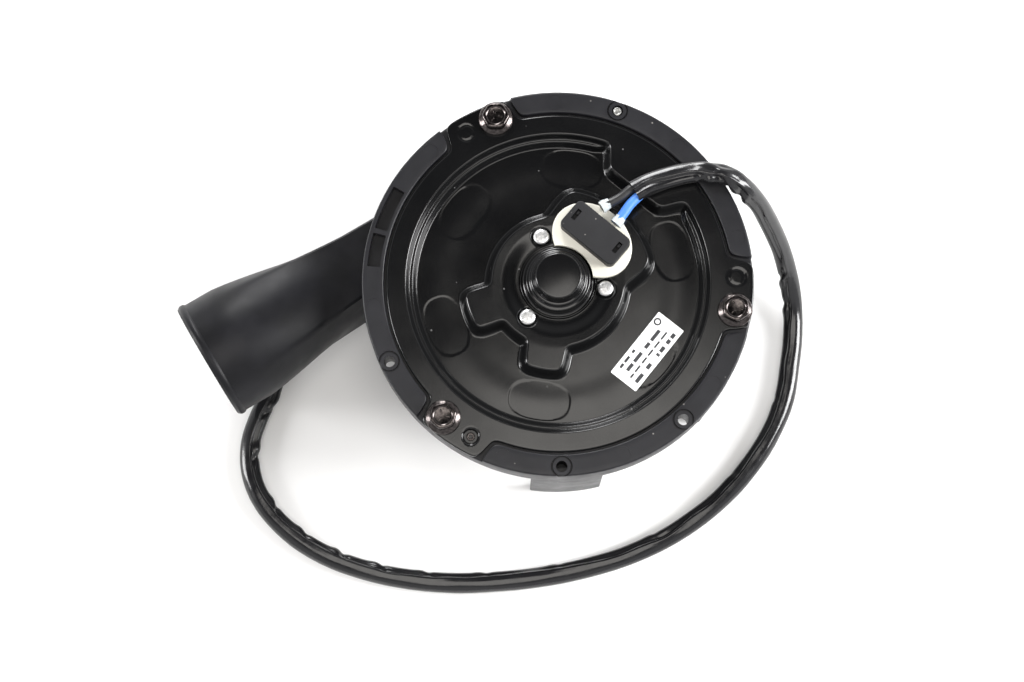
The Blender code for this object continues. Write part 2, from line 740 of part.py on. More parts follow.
def make_impeller():
    """Shrouded radial wheel with backward-curved blades, its eye towards the inlet."""
    bore = SHAFT_R / MM + 0.3
    profile = [(bore, 40.7), (42.8, 40.7), (IMPELLER_R / MM, 40.1), (IMPELLER_R / MM, 38.9),
               (16.0, 38.9), (11.0, 36.0), (9.6, 30.0), (9.0, 20.3), (bore, 20.3)]
    wheel = turned("impeller", profile, impeller_plastic(), 28)
    shroud_profile = [(24.0, 17.6), (27.0, 17.6), (43.9, 24.0), (43.9, 22.4), (27.2, 16.0), (24.0, 16.0)]
    shroud = turned("impeller_shroud", shroud_profile, None, 28, CUTTERS)
    blade_points = []
    for i in range(5):
        t = i / 4
        blade_points.append((21.0 + 22.6 * t, -52.0 * t * t - 6.0 * t))
    half = 0.8 * MM
    for k in range(BLADES):
        base = 360.0 * k / BLADES
        line = [polar(r * MM, base + a) for r, a in blade_points]
        left, right = [], []
        for i, point in enumerate(line):
            along = (line[min(i + 1, len(line) - 1)] - line[max(i - 1, 0)]).normalized()
            side = Vector((-along.y, along.x, 0.0)) * half
            left.append(tuple((point + side).xy))
            right.append(tuple((point - side).xy))
        blade = prism("impeller_blade", left + right[::-1], 17.0 * MM, 39.4 * MM, None, CUTTERS)
        trim_profile = [(20.0, 16.8), (27.1, 16.8), (43.9, 23.2), (46.0, 24.0), (46.0, 10.0), (20.0, 10.0)]
        cut(blade, turned("blade_trim", trim_profile, None, 28, CUTTERS))
        join(wheel, blade)
    join(wheel, shroud)
    return wheel


# ---------------------------------------------------------------- motor internals

def make_bearings():
    for name, base in (("upper", UPPER_BEARING_Z), ("lower", LOWER_BEARING_Z)):
        low = base / MM
        ring(f"{name}_bearing", 6.6, BEARING_R / MM, low, low + BEARING_H / MM, bright_steel(), 24)


def make_magnets():
    for number, angle in enumerate(MAGNET_ANGLES, start=1):
        outline = arc_outline(40.0 * MM, 55.3 * MM, angle - 15, angle + 15, 5)
        prism(f"magnet_{number}", outline, 53.0 * MM, 58.0 * MM, ferrite())


def make_brush_gear():
    """Card with four radial channels; a carbon brush and its spring slide in each."""
    card = ring("brush_card", 18.2, 24.4, 58.6, 60.2, card_plastic(), 32)
    for angle in BRUSH_ANGLES:
        join(card, box("channel_block", (15 * MM, -5 * MM, 53.3 * MM), (35 * MM, 5 * MM, 58.9 * MM),
                       None, CUTTERS, angle))
    for angle in BRUSH_ANGLES:
        cut(card, box("channel_way", (10 * MM, -3.3 * MM, 52 * MM), (33.4 * MM, 3.3 * MM, 57.9 * MM),
                      None, CUTTERS, angle))
    contact = COMMUTATOR_R + GAP
    for number, angle in enumerate(BRUSH_ANGLES, start=1):
        box(f"brush_{number}", (contact, -3 * MM, 53.3 * MM), (22.4 * MM, 3 * MM, 57.6 * MM),
            carbon(), None, angle)
        make_brush_spring(number, angle)


def make_brush_spring(number, angle):
    """Light coil spring between the brush's back and the end of its channel."""
    turns, per_turn, coil_r, wire_r = 3, 8, 1.6 * MM, 0.25 * MM
    start, end, height = 23.0 * MM, 32.8 * MM, 55.5 * MM
    points = []
    for i in range(turns * per_turn + 1):
        t = i / (turns * per_turn)
        spin = 2 * math.pi * turns * t
        points.append((start + (end - start) * t, coil_r * math.cos(spin),
                       height + coil_r * math.sin(spin)))
    spring = tube(f"brush_spring_{number}", points, wire_r, bright_steel(), 0)
    spring.rotation_euler.z = math.radians(angle)


# ---------------------------------------------------------------- connector, label and cable

CAP_CENTRE = (22.1 * MM, 7.9 * MM)
CAP_TURN = -71.0                        # degrees, direction of the connector's long side
BASE_CENTRE = (20.2 * MM, 7.0 * MM)


def make_connector():
    """Cream base on the plate's raised centre, with a clip-on cap over two blade terminals."""
    turn = math.radians(CAP_TURN)
    outline = []
    for i in range(28):
        angle = 2 * math.pi * i / 28
        x, y = 17.4 * MM * math.cos(angle), 13.9 * MM * math.sin(angle)
        outline.append((BASE_CENTRE[0] + x * math.cos(turn) - y * math.sin(turn),
                        BASE_CENTRE[1] + x * math.sin(turn) + y * math.cos(turn)))
    base = prism("connector_base", outline, HUB_Z + GAP, HUB_Z + 2.0 * MM, cream_plastic())
    stem = prism("connector_stem", rounded_rectangle(21 * MM, 8 * MM, 1.6 * MM, CAP_CENTRE, CAP_TURN),
                 HUB_Z - 1.4 * MM, HUB_Z + 1.4 * MM, None, CUTTERS)
    join(base, stem)
    cut(base, disc("cup_clearance", 14.0, 50.0, 80.0, None, 32, CUTTERS))
    for angle in RIVET_ANGLES:
        clearance = disc("rivet_clearance", 3.6, 60.0, 80.0, None, 14, CUTTERS)
        cut(base, move(clearance, polar(RIVET_PITCH_R, angle)))
    along, across = Vector((math.cos(turn), math.sin(turn))), Vector((-math.sin(turn), math.cos(turn)))
    terminal_places = [Vector(CAP_CENTRE) + along * side * 6.0 * MM for side in (-1, 1)]
    for place in terminal_places:
        slot = rounded_rectangle(6.9 * MM, 1.4 * MM, 0.3 * MM, tuple(place), CAP_TURN, 1)
        cut(base, prism("terminal_slot", slot, 50 * MM, 80 * MM, None, CUTTERS))
    cap = prism("connector_cap", rounded_rectangle(27.4 * MM, 13.6 * MM, 2.2 * MM, CAP_CENTRE, CAP_TURN),
                HUB_Z + 2.3 * MM, FACE_Z + 8.2 * MM, cap_plastic())
    hollow = prism("cap_hollow", rounded_rectangle(24.6 * MM, 10.8 * MM, 1.4 * MM, CAP_CENTRE, CAP_TURN),
                   HUB_Z, FACE_Z + 6.8 * MM, None, CUTTERS)
    cut(cap, hollow)
    for side in (-1, 1):
        place = Vector(CAP_CENTRE) + along * side * 10.4 * MM + across * 0.8 * MM
        latch = rounded_rectangle(4.8 * MM, 1.9 * MM, 0.3 * MM, tuple(place), CAP_TURN + 90, 1)
        cut(cap, prism("latch_slot", latch, HUB_Z, FACE_Z + 10 * MM, None, CUTTERS))
    for end in (BLACK_LEAD[0], BLUE_LEAD[0]):
        notch = disc("lead_notch", 2.5, -8.0, 8.0, None, 12, CUTTERS)
        notch.rotation_euler = (math.radians(90), 0.0, turn)
        notch.location = AXIS + Vector(end) * MM
        cut(cap, notch)
    for number, place in enumerate(terminal_places, start=1):
        outline = rounded_rectangle(6.3 * MM, 0.8 * MM, 0.2 * MM, tuple(place), CAP_TURN, 1)
        prism(f"terminal_{number}", outline, 61.2 * MM, FACE_Z + 6.2 * MM, brass())


BLACK_LEAD = ((30.6, 15.9, 71.4), (34.0, 15.6, 71.2), (38.5, 15.6, 71.1), (43.9, 16.2, 71.1))
BLUE_LEAD = ((31.8, 7.6, 71.4), (35.6, 9.2, 71.3), (39.8, 10.7, 71.2), (43.6, 11.6, 71.1))


def make_leads():
    for name, route, finish in (("black_lead", BLACK_LEAD, black_wire()),
                                ("blue_lead", BLUE_LEAD, blue_wire())):
        points = smooth_route([Vector(p) * MM for p in route], 3 * MM)
        tube(name, points, LEAD_R, finish)


def make_label():
    """Blank rating label on the recessed annulus."""
    outline = rounded_rectangle(31.6 * MM, 12.8 * MM, 0.4 * MM, (16.6 * MM, -42.3 * MM), 20.5, 1)
    prism("rating_label", outline, DISH_Z + 0.3 * MM, DISH_Z + 0.6 * MM, label_paper())


def make_cable():
    """Vinyl sleeve over the two leads, laid round the unit, and its two-way plug."""
    route = [Vector(p) * MM for p in SLEEVE_ROUTE]
    tube("cable_sleeve", smooth_route(route, 10 * MM), SLEEVE_R, sleeve_vinyl())
    along = (route[-1] - route[-2]).normalized()
    width, length, height = PLUG_SIZE
    middle = route[-1] + along * (length / 2 + GAP)
    heading = math.degrees(math.atan2(along.y, along.x))
    outline = rounded_rectangle(length, width, 1.5 * MM, tuple(middle.xy), heading)
    plug = prism("cable_plug", outline, 0.1 * MM, 0.1 * MM + height, cap_plastic())
    across = Vector((-along.y, along.x, 0.0))
    for side in (-1, 1):
        place = middle + across * side * 3.0 * MM + along * 4.0 * MM
        socket = rounded_rectangle(14 * MM, 3.6 * MM, 0.5 * MM, tuple(place.xy), heading, 1)
        cut(plug, prism("plug_socket", socket, 3.0 * MM, 6.6 * MM, None, CUTTERS))


clear_scene()
PARTS = new_collection("electric_supercharger")
CUTTERS = new_collection("cutters")
make_volute_casing()
make_motor_housing()
make_motor_plate()
make_motor_cup()
make_bearing_cup()
make_plate_gasket()
make_fasteners()
make_rotor()
make_bearings()
make_magnets()
make_brush_gear()
make_connector()
make_leads()
make_label()
make_cable()
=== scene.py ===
"""Looks of the electric supercharger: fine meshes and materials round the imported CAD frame."""
import math

import bmesh
import bpy
import numpy as np
from mathutils import Matrix, Vector, noise


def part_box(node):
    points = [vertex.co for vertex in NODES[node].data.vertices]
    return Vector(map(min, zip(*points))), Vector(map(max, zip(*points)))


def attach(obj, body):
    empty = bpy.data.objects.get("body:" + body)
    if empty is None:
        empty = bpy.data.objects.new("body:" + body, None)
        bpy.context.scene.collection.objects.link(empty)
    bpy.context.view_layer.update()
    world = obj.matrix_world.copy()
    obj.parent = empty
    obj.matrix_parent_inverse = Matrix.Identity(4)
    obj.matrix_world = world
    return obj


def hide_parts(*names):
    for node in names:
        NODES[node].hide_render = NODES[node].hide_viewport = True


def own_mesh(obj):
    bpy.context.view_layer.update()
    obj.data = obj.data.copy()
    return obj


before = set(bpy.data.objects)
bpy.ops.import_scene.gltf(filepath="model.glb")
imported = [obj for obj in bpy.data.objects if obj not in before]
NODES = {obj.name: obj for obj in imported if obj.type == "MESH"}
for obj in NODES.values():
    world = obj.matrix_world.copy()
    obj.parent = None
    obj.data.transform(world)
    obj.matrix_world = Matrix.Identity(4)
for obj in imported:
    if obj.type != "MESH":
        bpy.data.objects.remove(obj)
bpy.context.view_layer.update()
MM = 0.001


def middle(node):
    low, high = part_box(node)
    return (low + high) / 2


# Driving sizes, read from the frame or the same as the CAD model's
AXIS = Vector((*middle("motor_shaft").xy, 0.0))
RING_R = (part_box("motor_housing")[1].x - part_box("motor_housing")[0].x) / 2
FACE_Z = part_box("motor_housing")[1].z
HUB_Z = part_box("motor_plate")[1].z
FLANGE_Z = FACE_Z - 0.4 * MM
DISH_Z = FACE_Z - 6.0 * MM
SEAT_Z = FACE_Z - 3.1 * MM
SKIRT_Z = 51.5 * MM
FLANGE_R = 69.3 * MM
SHEET = 1.6 * MM
EAR_ANGLES = (84.8, 204.8, 324.8)
EAR_HALF = 12.8
BOLT_PITCH_R = 72.0 * MM
BOLT_ANGLES = (79.5, 199.5, 319.5)
MARK_ANGLES = (90.0, 330.5)             # embossed circles on two of the ears
DOWEL_ANGLE = 210.0
RIVET_PITCH_R = 19.3 * MM
SCREW_PITCH_R = 75.1 * MM
SCREW_ANGLES = (40.0, 175.0, 240.0, 280.5)
BLIND_SCREW_ANGLE = 240.0
LUG_ANGLES = (170.0, 236.0, 300.0)      # screws that hold the volute
LUG_PITCH_R = 63.3 * MM
IMPRINT_ANGLES = (52.0, 110.5, 170.0, 230.0, 289.0, 345.5)
DISH_R = 61.5 * MM
CHANNEL = (1.0, 39.0)                   # angles between which the flange steps in under the cable
STEP_REACH = 50.0 * MM
LEG_ANGLES = (62.0, 242.0, 302.0)
CAP_TURN = math.radians(-71.0)
CAP_CENTRE = Vector((22.1, 7.9)) * MM
BASE_CENTRE = Vector((20.2, 7.0)) * MM

# The sleeve's route about the shaft axis, in metres: the points of the CAD model's tube
SLEEVE_ROUTE = [AXIS + Vector(p) * MM for p in (
    (44.5, 14.8, 71.0), (50.5, 14.6, 70.8), (57.0, 13.5, 70.6), (63.5, 11.8, 70.7),
    (69.8, 9.2, 71.0), (75.6, 5.5, 71.3), (80.6, 0.4, 70.9), (84.8, -6.3, 66.4),
    (88.2, -13.5, 56.2), (90.6, -21.0, 43.0), (92.0, -29.5, 29.5), (91.6, -39.0, 17.0),
    (88.4, -49.5, 8.6), (82.6, -60.3, 4.9), (74.2, -71.3, 4.2), (61.8, -85.0, 4.1),
    (44.3, -96.2, 4.1), (24.4, -103.7, 4.1), (4.5, -107.2, 4.1), (-15.4, -107.2, 4.1),
    (-35.3, -104.0, 4.1), (-55.2, -98.0, 4.1), (-75.2, -89.6, 4.1), (-95.1, -79.0, 4.1),
    (-112.5, -66.6, 4.1), (-127.4, -52.6, 4.1), (-138.8, -37.6, 4.1), (-145.9, -22.0, 4.1),
    (-148.6, -7.0, 4.1), (-146.6, 6.4, 4.1), (-140.6, 17.2, 4.1), (-132.2, 25.0, 4.1),
    (-123.0, 31.4, 4.1), (-114.6, 39.0, 4.1), (-108.6, 48.4, 4.1),
)]

# Folds in the sleeve: distance from its mouth in mm, and strength
SLEEVE_FOLDS = (
    (27.0, 0.9), (37.0, 1.0), (47.5, 1.0), (106.0, 0.9), (121.0, 0.8), (166.0, 0.3), (205.0, 0.25),
    (248.0, 0.3), (291.0, 0.3), (322.0, 0.4), (346.0, 0.5), (368.0, 0.7), (385.0, 0.9), (404.0, 0.7),
    (421.0, 0.8), (447.0, 0.8), (470.0, 0.6), (491.0, 0.7),
)


# ---------------------------------------------------------------- materials

def new_material(name):
    made = bpy.data.materials.new(name)
    made.use_nodes = True
    return made, made.node_tree, made.node_tree.nodes["Principled BSDF"]


def texture_space(tree):
    return tree.nodes.new("ShaderNodeTexCoord").outputs["Object"]


def noise_node(tree, scale, detail=2.0, roughness=0.5, stretch=None):
    """Noise at a scale per metre, in the frame's own space."""
    made = tree.nodes.new("ShaderNodeTexNoise")
    made.inputs["Scale"].default_value = scale
    made.inputs["Detail"].default_value = detail
    made.inputs["Roughness"].default_value = roughness
    source = texture_space(tree)
    if stretch:
        mapping = tree.nodes.new("ShaderNodeMapping")
        mapping.inputs["Scale"].default_value = stretch
        tree.links.new(source, mapping.inputs["Vector"])
        source = mapping.outputs["Vector"]
    tree.links.new(source, made.inputs["Vector"])
    return made.outputs["Fac"]


def span(tree, value, low, high, to_low, to_high):
    made = tree.nodes.new("ShaderNodeMapRange")
    for socket, number in zip(("From Min", "From Max", "To Min", "To Max"),
                              (low, high, to_low, to_high)):
        made.inputs[socket].default_value = number
    tree.links.new(value, made.inputs["Value"])
    return made.outputs["Result"]


def noise_span(tree, scale, detail, low, high, to_low=0.0, to_high=1.0):
    """Noise with the part from low to high stretched to the wanted range."""
    return span(tree, noise_node(tree, scale, detail), low, high, to_low, to_high)


def mix_colour(tree, factor, first, second):
    """Mix two colours, each of which is a tuple or another node's output."""
    made = tree.nodes.new("ShaderNodeMix")
    made.data_type = "RGBA"
    tree.links.new(factor, made.inputs["Factor"])
    for socket, colour in (("A", first), ("B", second)):
        if isinstance(colour, tuple):
            made.inputs[socket].default_value = (*colour, 1.0)
        else:
            tree.links.new(colour, made.inputs[socket])
    return made.outputs["Result"]


def coat(tree, shader, colour, roughness, layers):
    """Feed a shader its colour and roughness, and height layers of (value, depth in mm) as its normal."""
    tree.links.new(colour, shader.inputs["Base Color"])
    tree.links.new(roughness, shader.inputs["Roughness"])
    before = None
    for value, depth in layers:
        made = tree.nodes.new("ShaderNodeBump")
        made.inputs["Distance"].default_value = depth * MM
        made.inputs["Strength"].default_value = 1.0
        tree.links.new(value, made.inputs["Height"])
        if before:
            tree.links.new(before, made.inputs["Normal"])
        before = made.outputs["Normal"]
    tree.links.new(before, shader.inputs["Normal"])


def specks(tree, scale, size):
    """1 on sparse round specks of dust, 0 between them."""
    cells = tree.nodes.new("ShaderNodeTexVoronoi")
    cells.inputs["Scale"].default_value = scale
    tree.links.new(texture_space(tree), cells.inputs["Vector"])
    near = span(tree, cells.outputs["Distance"], size, size * 0.55, 0.0, 1.0)
    pick = tree.nodes.new("ShaderNodeSeparateColor")
    tree.links.new(cells.outputs["Color"], pick.inputs["Color"])
    rare = span(tree, pick.outputs["Red"], 0.86, 0.9, 0.0, 1.0)
    both = tree.nodes.new("ShaderNodeMath")
    both.operation = "MULTIPLY"
    tree.links.new(near, both.inputs[0])
    tree.links.new(rare, both.inputs[1])
    return both.outputs[0]


def moulded_plastic(name, dark, light, roughness, grain=2600.0, depth=0.012, dust=None, specular=0.3):
    """Moulded plastic: fine spark grain, slow change of colour and sheen, and a little dust."""
    made, tree, shader = new_material(name)
    colour = mix_colour(tree, noise_span(tree, 60.0, 3.0, 0.35, 0.65), dark, light)
    if dust:
        colour = mix_colour(tree, specks(tree, dust, 0.13), colour, (0.2, 0.19, 0.18))
    shader.inputs["Specular IOR Level"].default_value = specular
    coat(tree, shader, colour, noise_span(tree, 140.0, 3.0, 0.3, 0.7, *roughness),
         [(noise_node(tree, grain), depth)])
    return made


def gloss_paint():
    """Gloss black paint on pressed steel, with orange peel, a faint haze and dust specks."""
    made, tree, shader = new_material("gloss_paint")
    colour = mix_colour(tree, specks(tree, 210.0, 0.1), (0.0036, 0.0037, 0.0040), (0.13, 0.13, 0.13))
    coat(tree, shader, colour, noise_span(tree, 45.0, 4.0, 0.3, 0.75, 0.12, 0.2),
         [(noise_node(tree, 160.0, 1.0), 0.005), (noise_node(tree, 1800.0), 0.0008)])
    return made


def metal(name, dark, light, roughness, scale=900.0, depth=0.004, stretch=None):
    """Bare or plated metal with a slight mottling."""
    made, tree, shader = new_material(name)
    shader.inputs["Metallic"].default_value = 1.0
    mottle = noise_node(tree, scale, 3.0, stretch=stretch)
    colour = mix_colour(tree, span(tree, mottle, 0.3, 0.7, 0.0, 1.0), dark, light)
    coat(tree, shader, colour, noise_span(tree, scale * 0.5, 2.0, 0.3, 0.7, *roughness), [(mottle, depth)])
    return made


def matt(name, dark, light, roughness, scale=700.0, depth=0.01):
    """A dry, non-metallic surface such as ferrite, carbon, card or paper."""
    made, tree, shader = new_material(name)
    grain = noise_node(tree, scale, 4.0)
    colour = mix_colour(tree, span(tree, grain, 0.3, 0.7, 0.0, 1.0), dark, light)
    coat(tree, shader, colour, span(tree, grain, 0.2, 0.8, *roughness), [(grain, depth)])
    return made


def soft_vinyl(name, dark, light, roughness, depth=0.03, scale=520.0):
    """Extruded vinyl: streaks and small dents that break up its gloss."""
    made, tree, shader = new_material(name)
    colour = mix_colour(tree, noise_node(tree, 150.0), dark, light)
    coat(tree, shader, colour, noise_span(tree, 260.0, 3.0, 0.3, 0.7, *roughness),
         [(noise_node(tree, scale), depth)])
    return made


RING_PLASTIC = moulded_plastic("ring_moulding", (0.0085, 0.0085, 0.0105), (0.012, 0.012, 0.0145),
                               (0.36, 0.46), depth=0.007, dust=300.0)
CASING_PLASTIC = moulded_plastic("casing_moulding", (0.006, 0.006, 0.007), (0.009, 0.009, 0.011),
                                 (0.36, 0.46), 1500.0, 0.004, specular=0.17)
CAP_PLASTIC = moulded_plastic("cap_moulding", (0.012, 0.012, 0.0135), (0.016, 0.016, 0.018),
                              (0.5, 0.6), 1900.0, 0.015, dust=420.0)
CREAM_PLASTIC = moulded_plastic("cream_moulding", (0.74, 0.72, 0.63), (0.80, 0.78, 0.70), (0.35, 0.45),
                                700.0, 0.01)
IMPELLER_PLASTIC = moulded_plastic("impeller_moulding", (0.026, 0.026, 0.028), (0.034, 0.034, 0.036),
                                   (0.38, 0.5), 1200.0, 0.01)
PAINT = gloss_paint()
BOLT_STEEL = metal("blackened_steel", (0.035, 0.03, 0.03), (0.11, 0.098, 0.094), (0.12, 0.24),
                   1000.0, 0.003)
RIVET_STEEL = metal("rivet_steel", (0.50, 0.50, 0.50), (0.78, 0.78, 0.78), (0.32, 0.5), 1800.0, 0.05)
BRIGHT_STEEL = metal("ground_steel", (0.55, 0.55, 0.55), (0.68, 0.68, 0.68), (0.16, 0.3), 900.0, 0.002,
                     (1.0, 1.0, 14.0))
ZINC_STEEL = metal("zinc_plate", (0.42, 0.42, 0.41), (0.58, 0.58, 0.56), (0.3, 0.48), 1100.0, 0.006)
COPPER = metal("copper_winding", (0.55, 0.25, 0.13), (0.78, 0.40, 0.22), (0.25, 0.4), 500.0, 0.02,
               (1.0, 1.0, 6.0))
BRASS = metal("brass", (0.58, 0.44, 0.18), (0.72, 0.57, 0.27), (0.22, 0.36))
FERRITE = matt("ferrite", (0.045, 0.045, 0.05), (0.065, 0.065, 0.07), (0.6, 0.75))
CARBON = matt("carbon", (0.022, 0.022, 0.023), (0.038, 0.038, 0.04), (0.45, 0.6), 1600.0)
CARD = matt("phenolic_card", (0.13, 0.075, 0.035), (0.2, 0.12, 0.06), (0.5, 0.65), 350.0)
RUBBER = matt("gasket_rubber", (0.009, 0.009, 0.009), (0.016, 0.016, 0.016), (0.7, 0.85), 1400.0)
PAPER = matt("label_paper", (0.90, 0.90, 0.90), (0.95, 0.95, 0.95), (0.35, 0.5), 900.0, 0.004)
INK = matt("label_ink", (0.022, 0.022, 0.024), (0.05, 0.05, 0.055), (0.4, 0.5), 2500.0, 0.001)
CLEAR_VINYL = soft_vinyl("milky_vinyl", (0.34, 0.38, 0.40), (0.62, 0.66, 0.68), (0.14, 0.3), 0.12, 600.0)
BLACK_WIRE = soft_vinyl("black_insulation", (0.011, 0.011, 0.012), (0.017, 0.017, 0.018), (0.32, 0.46),
                        0.02)
BLUE_WIRE = soft_vinyl("blue_insulation", (0.055, 0.185, 0.60), (0.075, 0.24, 0.70), (0.34, 0.46), 0.02)
SLEEVE_VINYL = soft_vinyl("sleeve_vinyl", (0.008, 0.008, 0.009), (0.012, 0.012, 0.013), (0.1, 0.24),
                          0.05, 330.0)
FLOOR_PAPER = matt("floor_paper", (0.90, 0.90, 0.90), (0.91, 0.91, 0.91), (0.85, 0.9), 30.0, 0.001)


# ---------------------------------------------------------------- geometry helpers

def polar(radius, degrees, z=0.0):
    angle = math.radians(degrees)
    return AXIS + Vector((radius * math.cos(angle), radius * math.sin(angle), z))


def heading(angle):
    return Vector((math.cos(angle), math.sin(angle)))


def quarter(steps):
    """Sine and cosine at even steps of a quarter turn, both ends included."""
    angles = [math.pi / 2 * k / steps for k in range(steps + 1)]
    return [(math.sin(a), math.cos(a)) for a in angles]


def smooth(t):
    t = np.clip(t, 0.0, 1.0)
    return t * t * (3 - 2 * t)


def window(degrees, start, end, ramp):
    """1 between start and end, falling to 0 over ramp degrees inside each end."""
    into = (degrees - start) % 360
    width = (end - start) % 360
    return np.where(into > width, 0.0, smooth(into / ramp) * smooth((width - into) / ramp))


def finish_piece(item, finish, body="unit", replaced=(), angle=35):
    """Give a piece its material, smooth shading and body, and hide the CAD nodes it stands for."""
    item.data.materials.clear()
    item.data.materials.append(finish)
    item.data.shade_smooth()
    item.data.set_sharp_from_angle(angle=math.radians(angle))
    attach(item, body)
    if replaced:
        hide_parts(*replaced)
    return item


def add_object(name, data):
    made = bpy.data.objects.new(name, data)
    bpy.context.scene.collection.objects.link(made)
    return made


def loops_object(name, loops, closed_section=False, caps=True):
    """Skin a list of closed loops of equal point count; closed_section joins the last to the first."""
    count = len(loops[0])
    verts = [p for loop in loops for p in loop]
    faces = []
    rows = len(loops)
    for row in range(rows if closed_section else rows - 1):
        a, b = row * count, ((row + 1) % rows) * count
        for i in range(count):
            k = (i + 1) % count
            faces.append((a + i, a + k, b + k, b + i))
    if caps and not closed_section:
        faces.append(tuple(range(count - 1, -1, -1)))
        last = (rows - 1) * count
        faces.append(tuple(last + i for i in range(count)))
    mesh = bpy.data.meshes.new(name)
    mesh.from_pydata([tuple(v) for v in verts], [], faces)
    mesh.update()
    return tidy_normals(add_object(name, mesh))


def tidy_normals(item, merge=0.0):
    work = bmesh.new()
    work.from_mesh(item.data)
    if merge:
        bmesh.ops.remove_doubles(work, verts=work.verts, dist=merge)
        bmesh.ops.dissolve_degenerate(work, edges=work.edges, dist=merge)
    bmesh.ops.recalc_face_normals(work, faces=work.faces)
    work.to_mesh(item.data)
    work.free()
    return item


def corner_arc(before, here, after, size, share, steps):
    """A quadratic arc in place of the corner at here; it takes at most a share of each side."""
    to_before, to_after = before - here, after - here
    reach = min(size, to_before.length * share, to_after.length * share)
    start, end = here + to_before.normalized() * reach, here + to_after.normalized() * reach
    places = [k / steps for k in range(steps + 1)]
    return [start * (1 - t) ** 2 + here * 2 * t * (1 - t) + end * t * t for t in places]


def rounded_profile(corners, steps=4):
    """Round the corners of a profile of (radius, z, corner radius)."""
    spots = [Vector(corner[:2]) for corner in corners]
    points = []
    for i, (_, _, size) in enumerate(corners):
        if size > 0:
            points += corner_arc(spots[i - 1], spots[i], spots[(i + 1) % len(spots)], size, 0.48, steps)
        else:
            points.append(spots[i])
    return points


def turned(name, corners, centre, steps=96, arc=4, tilt=None):
    """Turn a closed profile of (radius, z, corner radius), in mm, about an upright axis."""
    profile = [p * MM for p in rounded_profile(corners, arc)]
    angles = [2 * math.pi * k / steps for k in range(steps)]
    loops = [[Vector((p.x * math.cos(a), p.x * math.sin(a), p.y)) for a in angles] for p in profile]
    made = loops_object(name, loops, closed_section=profile[0].x > 0 or profile[-1].x > 0)
    place = Matrix.Translation(centre) @ (tilt or Matrix.Identity(4))
    made.data.transform(place)
    return tidy_normals(made, 0.000002)


def offset_outline(outline, distance):
    """Move each point of a closed outline inwards by distance, along its normal."""
    moved = []
    count = len(outline)
    for i, point in enumerate(outline):
        along = (outline[(i + 1) % count] - outline[i - 1]).normalized()
        moved.append(point + Vector((-along.y, along.x)) * distance)
    return moved


def rounded_prism(name, outline, bottom, top, radius, foot_radius=0.0, steps=4):
    """A flat outline in metres about the shaft axis, run anticlockwise, with rounded rims."""
    levels = [(0.0, bottom + foot_radius)]
    if foot_radius:
        foot = [(foot_radius * (1 - s), bottom + foot_radius * (1 - c)) for s, c in quarter(steps)]
        levels = foot[:-1] + levels
    levels += [(radius * (1 - c), top - radius * (1 - s)) for s, c in quarter(steps)]
    loops = []
    for inset, z in levels:
        loops.append([AXIS + Vector((p.x, p.y, z)) for p in offset_outline(outline, inset)])
    return loops_object(name, loops)


def placed(x, y, centre, turn):
    """A point of a flat outline, turned and moved to its place."""
    return Vector((centre[0] + x * math.cos(turn) - y * math.sin(turn),
                   centre[1] + x * math.sin(turn) + y * math.cos(turn)))


def ellipse(centre, half_length, half_width, turn, count=96):
    angles = [2 * math.pi * k / count for k in range(count)]
    return [placed(half_length * math.cos(a), half_width * math.sin(a), centre, turn) for a in angles]


def block(name, size, place, turn, bottom, top, edge, foot=0.0, steps=4, count=6):
    """Rounded block; size is (length, width, corner radius), in mm as edge and foot, its rims' radii."""
    length, width, radius = [value * MM for value in size]
    outline = []
    for corner, (sx, sy) in enumerate(((1, 1), (-1, 1), (-1, -1), (1, -1))):
        for i in range(count + 1):
            a = math.pi / 2 * (corner + i / count)
            x = sx * (length / 2 - radius) + radius * math.cos(a)
            y = sy * (width / 2 - radius) + radius * math.sin(a)
            outline.append(placed(x, y, place, turn))
    return rounded_prism(name, outline, bottom, top, edge * MM, foot * MM, steps)


def arc_band(inner, outer, start, end, count=16):
    """Outline of a stretch of a flat ring, anticlockwise."""
    angles = [math.radians(start + (end - start) * i / count) for i in range(count + 1)]
    return [heading(a) * outer for a in angles] + [heading(a) * inner for a in reversed(angles)]


def round_corners(outline, size, steps=4):
    """Round every corner sharper than 30 degrees of a closed outline."""
    points = []
    for i, here in enumerate(outline):
        before, after = outline[i - 1], outline[(i + 1) % len(outline)]
        if (before - here).angle(here - after) < math.radians(30):
            points.append(here)
        else:
            points += corner_arc(before, here, after, size, 0.45, steps)
    return points


def combine(item, others, operation):
    """Join or cut with other objects, apply it and remove them."""
    for other in others:
        made = item.modifiers.new(operation.title(), "BOOLEAN")
        made.operation = operation
        made.object = other
    bpy.context.view_layer.update()
    source = item.evaluated_get(bpy.context.evaluated_depsgraph_get())
    mesh = bpy.data.meshes.new_from_object(source)
    old = item.data
    item.modifiers.clear()
    item.data = mesh
    mesh.name = item.name
    bpy.data.meshes.remove(old)
    for other in others:
        bpy.data.objects.remove(other, do_unlink=True)
    return item


def merged(name, items):
    """One object from the meshes of several."""
    work = bmesh.new()
    for item in items:
        work.from_mesh(item.data)
        bpy.data.objects.remove(item, do_unlink=True)
    mesh = bpy.data.meshes.new(name)
    work.to_mesh(mesh)
    work.free()
    return add_object(name, mesh)


